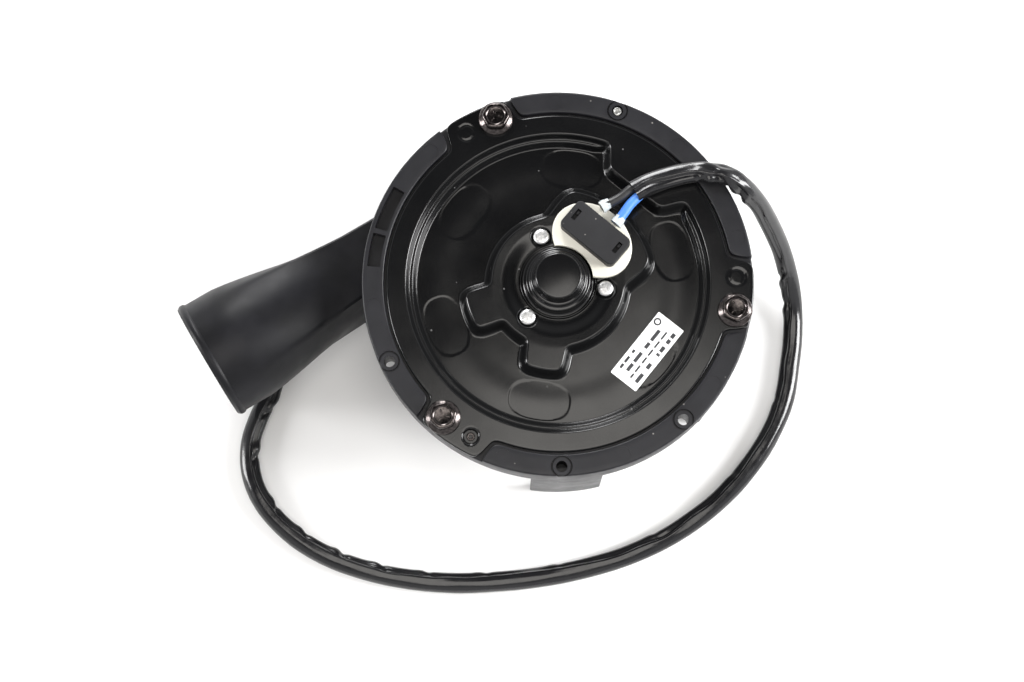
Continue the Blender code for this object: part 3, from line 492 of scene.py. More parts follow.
def catmull_rom(route, spacing):
    """Points about spacing apart on the Catmull-Rom curve through a route's points."""
    ends = [route[0] * 2 - route[1]] + list(route) + [route[-1] * 2 - route[-2]]
    dense = []
    for a, b, c, d in zip(ends, ends[1:], ends[2:], ends[3:]):
        for k in range(16):
            t = k / 16
            dense.append(0.5 * (2 * b + (c - a) * t + (2 * a - 5 * b + 4 * c - d) * t * t
                                + (3 * b - a - 3 * c + d) * t ** 3))
    dense.append(route[-1])
    runs = np.concatenate([[0.0], np.cumsum([(b - a).length for a, b in zip(dense, dense[1:])])])
    count = max(2, round(runs[-1] / spacing))
    wanted = np.linspace(0.0, runs[-1], count + 1)
    columns = [np.interp(wanted, runs, [p[axis] for p in dense]) for axis in range(3)]
    return [Vector(p) for p in zip(*columns)], float(runs[-1])


def tube_frames(points, up=Vector((0.0, 0.0, 1.0))):
    """The direction, side and top of a tube at each point, with its top kept near up."""
    frames = []
    last = len(points) - 1
    for i in range(len(points)):
        along = (points[min(i + 1, last)] - points[max(i - 1, 0)]).normalized()
        side = along.cross(up)
        if side.length < 0.2:
            side = frames[-1][1]
        side = (side - along * side.dot(along)).normalized()
        if frames and side.dot(frames[-1][1]) < 0:
            side = -side
        side = (side + (frames[-1][1] * 3 if frames else Vector())).normalized()
        side = (side - along * side.dot(along)).normalized()
        frames.append((along, side, side.cross(along)))
    return frames


def sweep(name, points, section, sides=28, caps=True, hollow=None, up=Vector((0.0, 0.0, 1.0))):
    """Skin a section round a path: section(i, angle) is (side reach, top reach) in metres."""
    loops = []
    for i, (place, (_, side, top)) in enumerate(zip(points, tube_frames(points, up))):
        loop = []
        for k in range(sides):
            across, height = section(i, 2 * math.pi * k / sides)
            loop.append(place + side * across + top * height)
        loops.append(loop)
    if hollow:
        inner = [[p.lerp(c, hollow) for p in loop] for loop, c in zip(loops, points)]
        return loops_object(name, loops + inner[::-1], closed_section=True)
    return loops_object(name, loops, caps=caps)


def round_wire(radius):
    """A plain round section for sweep."""
    return lambda _, turn: (radius * math.cos(turn), radius * math.sin(turn))


# ---------------------------------------------------------------- camera, lights and floor

def aim(item, place, target):
    """Turn a light towards its target."""
    back = (place - target).normalized()
    right = Vector((0.0, 1.0, 0.3)).cross(back).normalized()
    up = back.cross(right)
    item.matrix_world = Matrix.Translation(place) @ Matrix((right, up, back)).transposed().to_4x4()


def make_camera():
    """Looks down from 78 degrees above the horizon, 0.9 m from the ring's face."""
    data = bpy.data.cameras.new("camera")
    data.lens = 80.0
    data.sensor_width = 36.0
    data.clip_start = 0.02
    made = add_object("camera", data)
    right = Vector((0.85786, -0.51390, 0.0)).normalized()
    up = Vector((0.50540, 0.84368, 0.18111)).normalized()
    turn = Matrix((right, up, right.cross(up))).transposed().to_4x4()
    place = AXIS + Vector((-113.3, -153.1, 896.1)) * MM + Vector((0.0, 0.0, FACE_Z))
    made.matrix_world = Matrix.Translation(place) @ turn
    bpy.context.scene.camera = made


def softbox(name, place, target, size, power, colour=(1.0, 1.0, 1.0)):
    data = bpy.data.lights.new(name, "AREA")
    data.shape = "RECTANGLE"
    data.size, data.size_y = size
    data.energy = power
    data.color = colour
    aim(add_object(name, data), Vector(place), Vector(target))


def make_world():
    """A white room that darkens overhead, which a glossy flat face mirrors."""
    world = bpy.data.worlds.new("studio")
    world.use_nodes = True
    bpy.context.scene.world = world
    tree = world.node_tree
    sky = tree.nodes["Background"]
    split = tree.nodes.new("ShaderNodeSeparateXYZ")
    tree.links.new(tree.nodes.new("ShaderNodeTexCoord").outputs["Generated"], split.inputs["Vector"])
    ramp = tree.nodes.new("ShaderNodeValToRGB")
    stops = ramp.color_ramp.elements
    stops[0].position, stops[0].color = 0.55, (0.95, 0.95, 0.96, 1.0)
    stops[1].position, stops[1].color = 0.90, (0.045, 0.045, 0.05, 1.0)
    tree.links.new(split.outputs["Z"], ramp.inputs["Fac"])
    tree.links.new(ramp.outputs["Color"], sky.inputs["Color"])
    sky.inputs["Strength"].default_value = 0.9


def make_studio():
    make_camera()
    make_world()
    middle_of_unit = (AXIS.x, 0.0, 0.03)
    softbox("right_softbox", (1.15, -0.65, 0.68), middle_of_unit, (1.0, 0.5), 36.0)
    softbox("left_softbox", (-1.15, 0.65, 0.5), middle_of_unit, (0.9, 0.35), 16.0)
    softbox("back_softbox", (0.5, 1.15, 0.55), middle_of_unit, (0.9, 0.35), 16.0)
    softbox("overhead_softbox", (-0.19, -0.34, 1.5), (-0.19, -0.34, 0.0), (1.0, 1.05), 11.0,
            (1.0, 0.97, 0.92))
    bpy.ops.mesh.primitive_plane_add(size=8.0, location=(0.0, 0.0, 0.0))
    floor = bpy.context.object
    floor.name = "floor"
    floor.data.materials.append(FLOOR_PAPER)
    bpy.context.scene.view_settings.view_transform = "Standard"


# ---------------------------------------------------------------- cable

def ripple(*place):
    """Smooth noise between -1 and 1."""
    return noise.noise(Vector(place))


def hump(x, width):
    return math.exp(-(x / width) ** 2)


def make_sleeve():
    """Vinyl sleeve over two leads: flat and creased at its mouth, crinkled inside each bend."""
    points, length = catmull_rom(SLEEVE_ROUTE, 0.7 * MM)
    frames = tube_frames(points)
    last = len(points) - 1
    runs = np.arange(last + 1) * length / last
    floor_part = range(int(last * 0.3), int(last * 0.95))
    bend = sum((frames[i + 6][0] - frames[i - 6][0]).dot(frames[i][1]) for i in floor_part)
    inner, turn_way = (0.0, 1.0) if bend > 0 else (math.pi, -1.0)

    def reach_at(i, angle):
        run = runs[i] / MM
        wander = ripple(run * 0.017, 1.7, 0.0) + 0.5 * ripple(run * 0.075, 5.1, 0.0)
        # angle from the long crease, which runs between the top and the inner side of the bend
        crease_at = inner + turn_way * (0.95 + 0.55 * wander)
        past = -turn_way * math.remainder(angle - crease_at, 2 * math.pi)
        mouth = 1 - float(smooth((run - 4.0) / 34.0))
        size = 4.0 + 0.12 * math.cos(2 * (angle - inner)) + 0.5 * mouth * math.cos(2 * angle)
        depth = 0.5 + 0.5 * ripple(run * 0.035, 8.0, 0.0) + 0.35 * mouth
        size -= depth * 1.1 * hump(past, 0.24)
        size += 0.26 * hump(past + 0.36, 0.16) + 0.22 * hump(past - 0.62, 0.3)
        size -= 0.35 * hump(past - 1.25, 0.2)
        # folds run slantwise from the crease down the inner side
        on_flap = float(smooth((past + 0.35) / 0.4) * smooth((2.5 - past) / 0.8))
        for site, strength in nearby[i]:
            gap = run - site - 3.2 * past - 1.2 * math.sin(2.2 * past + site)
            size += on_flap * strength * (0.55 * hump(gap - 3.6, 2.6) - 0.8 * hump(gap, 1.8))
        c, s = math.cos(angle), math.sin(angle)
        size += hump(run - 35.0, 9.0) * 1.1 * ripple(run * 0.15, 1.4 * c, 1.4 * s)
        size += 0.12 * ripple(run * 0.07, 1.2 * c, 1.2 * s + 9.0)
        return size * MM * c, size * MM * s

    nearby = [[fold for fold in SLEEVE_FOLDS if abs(fold[0] - run / MM) < 12.0] for run in runs]
    sleeve = sweep("sleeve", points, reach_at, sides=60, hollow=0.1)
    finish_piece(sleeve, SLEEVE_VINYL, replaced=["cable_sleeve"], angle=60)
    plug = make_plug(frames[-1][0])
    return sleeve


def make_plug(along):
    """Two-way plug: ribbed shell with two sockets and a latch, at the sleeve's end."""
    low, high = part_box("cable_plug")
    centre, top = ((low + high) / 2 - AXIS).xy, high.z
    along = along.xy.normalized()
    across = along.orthogonal()
    turn = math.atan2(along.y, along.x)
    shell = block("plug_shell", (20.0, 13.0, 1.5), centre, turn, low.z, top - 0.3 * MM, 0.8, 0.5)
    cutters = []
    for side in (-1, 1):
        place = centre + across * side * 3.0 * MM + along * 4.0 * MM
        cutters.append(block("plug_socket", (13.4, 3.2, 0.5), place, turn, 3.2 * MM, 6.4 * MM, 0.1))
    for k in range(4):
        place = centre + along * (-8.0 + 1.7 * k) * MM
        cutters.append(block("plug_groove", (0.7, 15.0, 0.2), place, turn, top - 0.9 * MM, top + 2 * MM, 0.1))
    combine(shell, cutters, "DIFFERENCE")
    latch = block("plug_latch", (11.0, 4.0, 0.8), centre + along * 3.5 * MM, turn, top - 0.9 * MM, top, 0.5)
    plug = merged("plug", [shell, latch])
    return finish_piece(plug, CAP_PLASTIC, replaced=["cable_plug"])


def flare(i, a):
    """Uneven section of the milky sleeving at a lead's end, which narrows away from it."""
    c, s = math.cos(a), math.sin(a)
    size = (2.5 - 0.35 * smooth(i / 7) + 0.3 * ripple(i * 0.4, 2 * c, 2 * s)) * MM
    return size * c * 1.05, size * s * 0.92


def make_leads():
    """Black and blue leads from the connector's cap into the sleeve's mouth, with milky ends."""
    routes = {
        "black": (BLACK_WIRE, "black_wire", ((29.9, 16.0, 71.4), (32.2, 16.0, 71.4), (35.0, 15.7, 71.2),
                                             (39.0, 15.7, 71.1), (43.9, 16.4, 71.1), (48.5, 16.2, 71.0))),
        "blue": (BLUE_WIRE, "blue_wire", ((31.2, 7.2, 71.4), (33.2, 7.9, 71.4), (36.2, 9.2, 71.3),
                                          (40.2, 11.0, 71.3), (43.8, 12.0, 71.1), (48.5, 12.9, 70.8))),
    }
    for colour, (finish, slot_name, route) in routes.items():
        points, _ = catmull_rom([AXIS + Vector(p) * MM for p in route], 0.5 * MM)
        lead = sweep(f"{colour}_lead_wire", points, round_wire(2.0 * MM))
        finish_piece(lead, finish, replaced=[f"{colour}_lead"])
        finish_piece(sweep(f"{colour}_lead_end", points[:8], flare), CLEAR_VINYL)


# ---------------------------------------------------------------- ring and legs

RECESS_ANGLES = ((118.5, 132.5), (134.0, 144.5))
EJECTOR_ANGLES = (60.0, 103.0, 157.0, 192.5, 222.0, 259.0, 295.0, 343.0, 18.0)
TURN_STEPS = 1080
DEGREES = np.arange(TURN_STEPS) * 360.0 / TURN_STEPS
RADIANS = np.radians(DEGREES)


def ear(degrees, grow=0.0):
    """1 on the plate's ears and 0 between them."""
    half = EAR_HALF + grow
    return np.max([window(degrees, a - half, a + half, 3.6) for a in EAR_ANGLES], axis=0)


def flat(radius):
    """x and y about the shaft axis, from the radius at each degree step."""
    return radius * np.cos(RADIANS), radius * np.sin(RADIANS)


def softened(radius, reach):
    """A closed outline's points, evenly spaced, with its corners rounded over a reach."""
    outline = np.stack(flat(radius), axis=1)
    closed = np.vstack([outline, outline[:1]])
    run = np.concatenate([[0.0], np.cumsum(np.linalg.norm(np.diff(closed, axis=0), axis=1))])
    count = int(run[-1] / (0.3 * MM))
    even = np.linspace(0.0, run[-1], count, endpoint=False)
    x, y = np.interp(even, run, closed[:, 0]), np.interp(even, run, closed[:, 1])
    offsets = np.arange(-24, 25)
    weights = np.exp(-((offsets * 0.3 * MM / reach) ** 2) / 2)
    weights /= weights.sum()
    x = sum(w * np.roll(x, o) for w, o in zip(weights, offsets))
    y = sum(w * np.roll(y, o) for w, o in zip(weights, offsets))
    return np.stack([x, y], axis=1)


def radius_of(outline):
    """The outline's radius at each degree step."""
    angles = np.degrees(np.arctan2(outline[:, 1], outline[:, 0])) % 360
    order = np.argsort(angles)
    radius = np.hypot(outline[:, 0], outline[:, 1])
    return np.interp(DEGREES % 360, angles[order], radius[order], period=360)


def round_loop(radius, z):
    """A closed loop about the shaft axis; radius and z are numbers or one value for each degree step."""
    x, y = flat(radius)
    return np.stack([AXIS.x + x, AXIS.y + y, np.broadcast_to(z, TURN_STEPS)], axis=1)


def make_ring():
    """Mounting ring: fine-grained face with rounded edges, cut out for the plate and its ears."""
    pocket = FLANGE_R + MM + (RING_R + 2 * MM - FLANGE_R) * ear(DEGREES, 0.8)
    pocket = radius_of(softened(pocket, 1.7 * MM))
    lip_r = RING_R - 0.9 * MM
    open_side = pocket > lip_r - 0.9 * MM
    face = np.where(open_side, SEAT_Z, FACE_Z)
    wall = np.minimum(pocket, lip_r)
    loops = [round_loop(60.5 * MM, 60.0 * MM), round_loop(60.5 * MM, SEAT_Z - 1.5 * MM),
             round_loop(62.4 * MM, SEAT_Z), round_loop(wall - 0.1 * MM, SEAT_Z)]
    edge = 0.7 * MM
    loops.append(round_loop(wall, np.where(open_side, SEAT_Z, face - edge)))
    for s, c in quarter(4)[1:]:
        loops.append(round_loop(np.minimum(wall + edge * (1 - c), lip_r),
                                np.where(open_side, SEAT_Z, face - edge * (1 - s))))
    inner = np.minimum(wall + edge, lip_r)
    for k in range(1, 5):
        loops.append(round_loop(inner + (lip_r - inner) * k / 4, face))
    outer_edge = RING_R - lip_r
    for s, c in quarter(5)[1:]:
        loops.append(round_loop(lip_r + outer_edge * s, face - outer_edge * (1 - c)))
    loops += [round_loop(RING_R, 56.0 * MM), round_loop(RING_R, SKIRT_Z + 0.5 * MM),
              round_loop(RING_R - 0.4 * MM, SKIRT_Z), round_loop(76.8 * MM, SKIRT_Z)]
    underside = ((76.8, 60.5), (63.2, 60.5), (63.2, 45.9), (67.6, 45.9), (67.6, 43.3), (14.0, 43.3),
                 (14.0, 45.7), (60.5, 45.7))
    loops += [round_loop(radius * MM, z * MM) for radius, z in underside]
    made = loops_object("ring", [loop.tolist() for loop in loops], closed_section=True)
    cutters = []
    for start, end in RECESS_ANGLES:
        outline = round_corners(arc_band(71.9 * MM, 77.2 * MM, start, end), 0.7 * MM)
        cutters.append(rounded_prism("recess", outline, 61.6 * MM, FACE_Z + 2 * MM, 0.1 * MM))
    for angle in SCREW_ANGLES:
        groove = turned("boss_groove", [(3.6, 70.0, 0), (4.3, 70.0, 0), (4.3, 64.9, 0.2), (3.6, 64.9, 0.2)],
                        polar(SCREW_PITCH_R, angle), 64)
        cutters.append(groove)
        cutters.append(pin_cutter(SCREW_PITCH_R, angle, 2.25, 58.0))
    for angle in EJECTOR_ANGLES:
        if float(ear(np.array([angle]), 1.5)[0]) < 0.01:
            cutters.append(pin_cutter(74.6 * MM, angle, 3.2, FACE_Z / MM - 0.12))
    for angle in BOLT_ANGLES:
        cutters.append(pin_cutter(BOLT_PITCH_R, angle, 4.8, 53.5))
    combine(made, [merged("ring_cutters", cutters)], "DIFFERENCE")
    return finish_piece(made, RING_PLASTIC, replaced=["motor_housing"])


def pin_cutter(pitch_r, angle, radius, foot, top=72.0, steps=40):
    return turned("pin_cutter", [(0, top, 0), (radius, top, 0), (radius, foot, 0), (0, foot, 0)],
                  polar(pitch_r, angle), steps)


def make_screw_bosses():
    """Tubular bosses under the four small screw holes, which are open right through but for one."""
    for number, angle in enumerate(SCREW_ANGLES, start=1):
        floor_r = 0.0 if angle == BLIND_SCREW_ANGLE else 2.25
        profile = [(2.25, 61.5, 0.1), (3.7, 61.5, 0.2), (3.7, 53.0, 0.3), (floor_r, 53.0, 0.0)]
        if angle == BLIND_SCREW_ANGLE:
            profile += [(0.0, 55.0, 0.0), (2.25, 55.0, 0.0)]
        boss = turned(f"screw_boss_{number}", profile, polar(SCREW_PITCH_R, angle), 64)
        finish_piece(boss, RING_PLASTIC)


def make_legs():
    """Curved legs under the ring, thin-walled with rounded edges."""
    for number, angle in enumerate(LEG_ANGLES, start=1):
        outline = round_corners(arc_band(74.8 * MM, 77.6 * MM, angle - 11, angle + 11, 28), 0.6 * MM)
        leg = rounded_prism(f"leg_{number}", outline, 0.0, 61.7 * MM, 0.2 * MM, 0.4 * MM)
        finish_piece(leg, RING_PLASTIC)
    for number, angle in enumerate(LUG_ANGLES, start=1):
        profile = [(2.0, 54.0, 0.2), (4.0, 54.0, 0.4), (4.0, 44.5, 0.2), (2.0, 44.5, 0.2)]
        pad = turned(f"roof_pad_{number}", profile, polar(LUG_PITCH_R, angle), 40)
        finish_piece(pad, RING_PLASTIC)


# ---------------------------------------------------------------- volute

TONGUE_ANGLE = 127.0
TONGUE_R = 48.5 * MM
SCROLL_END_R = 64.5 * MM
WALL = 2.5 * MM
BASE_Z = 11.0 * MM
ROOF_Z = 43.3 * MM
SPIGOT_R = 25.0 * MM
SPIGOT_Y = 50.2 * MM
SPIGOT_Z = 36.0 * MM
DUCT_BASE = BASE_Z - 0.2 * MM
DUCT_TOP = 46.0 * MM
DUCT_NEAR = (39.4 * MM, 36.0 * MM)
DUCT_FAR = (65.7 * MM, 67.4 * MM)
DUCT_FLARE_X = -64.0 * MM
DUCT_ROUND_X = -122.0 * MM
DUCT_STATIONS = [-40.0] + [-64.0 - 2.9 * k for k in range(21)]
SECTION_POINTS = 96


def scroll_edge(degrees):
    turn = (degrees - TONGUE_ANGLE) % 360
    return TONGUE_R + (SCROLL_END_R - TONGUE_R) * min(turn / 323.0, 1.0)


def duct_section(x, inset):
    """Section of the outlet duct: a rectangle with small round corners that turns into a circle."""
    straight = (DUCT_FLARE_X - x) / (DUCT_FLARE_X - DUCT_ROUND_X)
    blend = 0.6 * min(max(straight, 0.0), 1.0) + 0.4 * float(smooth(straight))
    points = []
    for i in range(SECTION_POINTS):
        angle = 2 * math.pi * (i + 0.5) / SECTION_POINTS
        c, s = math.cos(angle), math.sin(angle)
        reach = 1.0 / (abs(c) ** 60 + abs(s) ** 60) ** (1 / 60)
        across, up = (c * reach + 1) / 2, (s * reach + 1) / 2
        near = DUCT_NEAR[1] + (DUCT_NEAR[0] - DUCT_NEAR[1]) * up + inset
        far = DUCT_FAR[1] + (DUCT_FAR[0] - DUCT_FAR[1]) * up - inset
        height = DUCT_TOP - DUCT_BASE - 2 * inset
        square = Vector((x, near + (far - near) * across, DUCT_BASE + inset + height * up))
        circle = Vector((x, SPIGOT_Y + (SPIGOT_R - inset) * c, SPIGOT_Z + (SPIGOT_R - inset) * s))
        points.append(AXIS + square.lerp(circle, blend))
    return points


def duct_outside():
    """Outer form of the duct, with the rounded bead at the spigot's rim."""
    sections = [duct_section(x * MM, 0.0) for x in [-12.0, *DUCT_STATIONS, -126.0, -132.0]]
    for x, grow in ((-134.2, 0.0), (-134.6, 0.35), (-135.1, 0.6), (-135.8, 0.7), (-136.6, 0.6),
                    (-137.1, 0.35), (-137.4, 0.0), (-137.8, -0.2), (-138.0, -0.6)):
        sections.append(duct_section(x * MM, -grow * MM))
    return loops_object("duct_outside", sections)


def duct_inside():
    sections = [duct_section(x * MM, WALL) for x in [-14.0, *DUCT_STATIONS, -130.0, -136.5]]
    sections += [duct_section(-137.6 * MM, WALL - 0.3 * MM), duct_section(-139.0 * MM, WALL - 0.9 * MM)]
    return loops_object("duct_inside", sections)


def scroll_outline(grow, count=180):
    angles = [360.0 * i / count for i in range(count)]
    return [heading(math.radians(a)) * (scroll_edge(a) + grow) for a in angles]


def make_volute():
    """Scroll, outlet duct and inlet collar, moulded in one."""
    casing = rounded_prism("volute", scroll_outline(WALL), BASE_Z, ROOF_Z + 3 * MM, 0.3 * MM, 2.0 * MM)
    collar = [(22.0, 12.4, 0), (29.5, 12.4, 0), (29.5, 0.0, 0.8), (22.0, 0.0, 0)]
    combine(casing, [turned("inlet_collar", collar, AXIS, 119), duct_outside()], "UNION")
    lugs = []
    for angle in LUG_ANGLES:
        lug = [(0, 44.4, 0), (4.0, 44.4, 0), (4.0, 33.0, 0.8), (0, 33.0, 0)]
        lugs.append(turned("casing_lug", lug, polar(LUG_PITCH_R, angle), 38))
        place = (polar(LUG_PITCH_R - 2.0 * MM, angle) - AXIS).xy
        lugs.append(block("lug_rib", (8.0, 2.8, 0.3), place, math.radians(angle), 34.0 * MM, 44.2 * MM, 0.2))
    combine(casing, lugs, "UNION")
    eye = [(0, 16, 0), (28.6, 16, 0), (26.0, 12.6, 0.6), (26.0, 2.5, 2.0), (28.6, -1, 0), (0, -1, 0)]
    hollow = rounded_prism("scroll_inside", scroll_outline(0.0, 178), BASE_Z + WALL, 50 * MM, 0.3 * MM,
                           1.6 * MM)
    seat = turned("roof_seat", [(0, 60, 0), (68.1, 60, 0), (68.1, 43.0, 0), (0, 43.0, 0)], AXIS, 171)
    combine(casing, [duct_inside(), hollow, seat, turned("inlet_eye", eye, AXIS, 113)], "DIFFERENCE")
    combine(casing, [pin_cutter(LUG_PITCH_R, a, 2.0, 30, 50, 26) for a in LUG_ANGLES], "DIFFERENCE")
    return finish_piece(casing, CASING_PLASTIC, replaced=["volute_casing"], angle=28)


# ---------------------------------------------------------------- motor plate

def hub_edge():
    """Radius of the plate's raised centre at each degree step."""
    connector_lobe = 11.0 * window(DEGREES, -38, 70, 22)
    left_lobe = 10.8 * window(DEGREES, 151, 186, 6.5)
    lower_lobe = 9.8 * window(DEGREES, 211, 247.5, 8)
    return (27.0 + np.max([connector_lobe, left_lobe, lower_lobe], axis=0)) * MM


def dish_edge():
    """Radius where the flange drops to the annulus, with its straight step under the cable."""
    under_cable = window(DEGREES, *CHANNEL, 5)
    step = STEP_REACH / np.cos(np.radians(DEGREES - sum(CHANNEL) / 2))
    return np.where(under_cable > 0, DISH_R - (DISH_R - step) * under_cable, DISH_R)


def outside_by(outline, radius):
    """Distance outwards from an outline to one loop of the plate; negative inside it."""
    x, y = flat(radius)
    along = np.roll(outline, -1, axis=0) - np.roll(outline, 1, axis=0)
    outward = np.stack([along[:, 1], -along[:, 0]], axis=1)
    outward /= np.linalg.norm(outward, axis=1)[:, None]
    gap_x, gap_y = x[:, None] - outline[None, :, 0], y[:, None] - outline[None, :, 1]
    squares = gap_x ** 2 + gap_y ** 2
    nearest = squares.argmin(axis=1)
    rows = np.arange(len(x))
    direct = np.sqrt(squares[rows, nearest])
    across = gap_x[rows, nearest] * outward[nearest, 0] + gap_y[rows, nearest] * outward[nearest, 1]
    return np.where(direct < 1.2 * MM, across, np.sign(across) * direct) / MM


def rounded_ramp(distance, width, fillet):
    """0 to 1 over a width that starts at 0, with rounded ends."""
    def ramp(x):
        return np.where(x < -fillet, 0.0, np.where(x > fillet, x, (x + fillet) ** 2 / (4 * fillet)))
    return (ramp(distance) - ramp(distance - width)) / width


def imprint_depth(radius):
    """1 inside the six oval marks over the magnets, 0 outside, with short slopes."""
    x, y = flat(radius)
    depth = np.zeros(TURN_STEPS)
    for angle in IMPRINT_ANGLES:
        a = math.radians(angle)
        out = (x * math.cos(a) + y * math.sin(a)) - 48.2 * MM
        along = -x * math.sin(a) + y * math.cos(a)
        reach = (np.abs(along / (12.6 * MM)) ** 2.5 + np.abs(out / (8.0 * MM)) ** 2.5) ** (1 / 2.5)
        depth = np.maximum(depth, 1 - smooth((reach - 0.96) / 0.05))
    return depth


def away_from(radius, pitch_r, angle):
    """Distance in mm of one loop's points from a centre on the plate."""
    a = math.radians(angle)
    x, y = flat(radius)
    return np.hypot(x - pitch_r * math.cos(a), y - pitch_r * math.sin(a)) / MM


def plate_height(radius, hub, dish):
    """Top surface of the plate along one loop."""
    past_hub, past_dish = outside_by(hub, radius), outside_by(dish, radius)
    under_cable = window(DEGREES, CHANNEL[0] - 6, CHANNEL[1] + 6, 7)
    low_step = rounded_ramp(past_dish + 4.3 - 1.5 * under_cable, 1.5, 0.4)
    high_step = rounded_ramp(past_dish + 1.5, 1.4, 0.4)
    rise = (FLANGE_Z - DISH_Z) * (0.52 * low_step + 0.48 * high_step)
    fall = (HUB_Z - DISH_Z) * (1 - rounded_ramp(past_hub + 0.1, 2.3, 0.7))
    bowl = 1.0 * MM * (1 - smooth((radius - 16.5 * MM) / (6.5 * MM)))
    crown = 0.25 * MM * np.sin(np.clip(radius / (27.0 * MM), 0.0, 1.0) * math.pi)
    swell = 0.12 * MM * np.sin(math.pi * smooth((radius - 40.0 * MM) / (18.0 * MM)))
    z = DISH_Z + np.maximum(rise, fall) - 0.08 * MM * imprint_depth(radius) + swell * (past_hub > 3)
    z = z - (bowl + crown) * (past_hub < 0)
    for angle in BOLT_ANGLES:
        z = z - 0.55 * MM * (1 - smooth((away_from(radius, RIVET_PITCH_R, angle) - 3.5) / 0.9))
    for angle in MARK_ANGLES:
        z = z - 0.3 * MM * np.exp(-((away_from(radius, BOLT_PITCH_R, angle) - 3.3) / 0.35) ** 2)
    away = away_from(radius, BOLT_PITCH_R, DOWEL_ANGLE)
    return z - 2.6 * MM * (1 - smooth((away - 2.0) / 1.5))


def make_plate():
    """Pressed-steel end plate: lobed hub, marked annulus, stepped rise to the flange and its ears."""
    hub, dish = softened(hub_edge(), 1.3 * MM), softened(dish_edge(), 1.5 * MM)
    hub_r, dish_r = radius_of(hub), radius_of(dish)
    edge = radius_of(softened(FLANGE_R + (RING_R - FLANGE_R) * ear(DEGREES), 1.7 * MM))
    hole_r, rim = 15.9 * MM, edge - 0.8 * MM
    spacing = ((hole_r, 22), (hub_r - 1.4 * MM, 34), (hub_r + 4.4 * MM, 30), (dish_r - 6.0 * MM, 40),
               (dish_r + 0.8 * MM, 26), (rim, 0))
    loops = []
    for (near, count), (far, _) in zip(spacing, spacing[1:]):
        for k in range(count):
            radius = near + (far - near) * k / count
            loops.append(round_loop(radius, plate_height(radius, hub, dish)))
    rim_z = plate_height(rim, hub, dish)
    for s, c in quarter(6):
        loops.append(round_loop(rim + 0.8 * MM * s, rim_z - 0.8 * MM * (1 - c)))
    loops += [round_loop(edge, FLANGE_Z - SHEET), round_loop(dish_r + 0.4 * MM, FLANGE_Z - SHEET),
              round_loop(dish_r - 4.2 * MM, DISH_Z - SHEET), round_loop(hub_r + 1.9 * MM, DISH_Z - SHEET),
              round_loop(hub_r - 0.4 * MM, HUB_Z - SHEET), round_loop(hole_r, HUB_Z - SHEET - 1.2 * MM)]
    plate = loops_object("plate", [loop.tolist() for loop in loops], closed_section=True)
    return finish_piece(plate, PAINT, replaced=["motor_plate"], angle=50)


def make_dowel():
    profile = [(0, 63.9, 0), (0.5, 63.9, 0.1), (0.9, 64.3, 0.2), (1.5, 64.3, 0.2), (2.1, 63.5, 0.2),
               (2.1, 61.4, 0.1), (0, 61.4, 0)]
    pin = turned("dowel", profile, polar(BOLT_PITCH_R, DOWEL_ANGLE), 48)
    return finish_piece(pin, BOLT_STEEL, replaced=["dowel_pin"])


def make_bearing_cup():
    """Cup pressed in steps over the bearing, with its flange under the plate."""
    profile = [(0, 77.0, 0), (9.2, 77.0, 0.8), (9.9, 71.6, 0.5), (11.0, 71.4, 0.5), (11.5, 69.9, 0.5),
               (12.9, 69.6, 0.5), (13.4, 66.4, 0.5), (14.2, 65.6, 0.4), (15.2, 66.1, 0.4),
               (15.5, 64.7, 0.2), (22.4, 64.7, 0.2), (22.4, 63.2, 0.2), (15.4, 63.2, 0.5),
               (14.3, 62.0, 0.5), (11.6, 62.6, 0.5), (11.3, 69.0, 0.6), (8.4, 75.6, 0.8), (0, 75.6, 0)]
    cup = turned("cup", profile, AXIS, 180, 5)
    return finish_piece(cup, PAINT, replaced=["bearing_cup"])


# ---------------------------------------------------------------- fasteners

def make_bolt(number, angle):
    """M6 flange bolt: coned flange, rounded hexagon head, dished top with three raised bars."""
    centre = polar(BOLT_PITCH_R, angle)
    under = FLANGE_Z / MM + 0.3
    flange = [(0, under + 2.9, 0), (4.6, under + 2.9, 0.3), (6.5, under + 1.5, 0.5),
              (7.0, under + 1.0, 0.4), (7.0, under, 0.3), (3.0, under, 0.1), (3.0, under - 11.2, 0.3),
              (0, under - 11.8, 0)]
    body = turned("bolt_body", flange, centre, 96)
    hexagon = [(centre - AXIS).xy + heading(math.radians(60 * k + 12 + 17 * number)) * 5.9 * MM
               for k in range(6)]
    head = rounded_prism("bolt_head", round_corners(hexagon, 1.7 * MM), (under + 1.2) * MM,
                         (under + 6.0) * MM, 0.8 * MM)
    dish = [(0, under + 7, 0), (4.6, under + 7, 0), (4.1, under + 5.6, 0.3), (3.5, under + 5.1, 0.4),
            (0, under + 4.9, 0)]
    combine(head, [turned("bolt_dish", dish, centre, 64)], "DIFFERENCE")
    bars = []
    for k in range(3):
        turn = math.radians(120 * k + angle)
        place = (centre - AXIS).xy + heading(turn) * 1.9 * MM
        bars.append(block("bolt_bar", (1.9, 0.6, 0.25), place, turn, (under + 4.8) * MM,
                          (under + 5.2) * MM, 0.12))
    bolt = merged(f"bolt_{number}", [body, head] + bars)
    return finish_piece(bolt, BOLT_STEEL, replaced=[f"flange_bolt_{number}"])


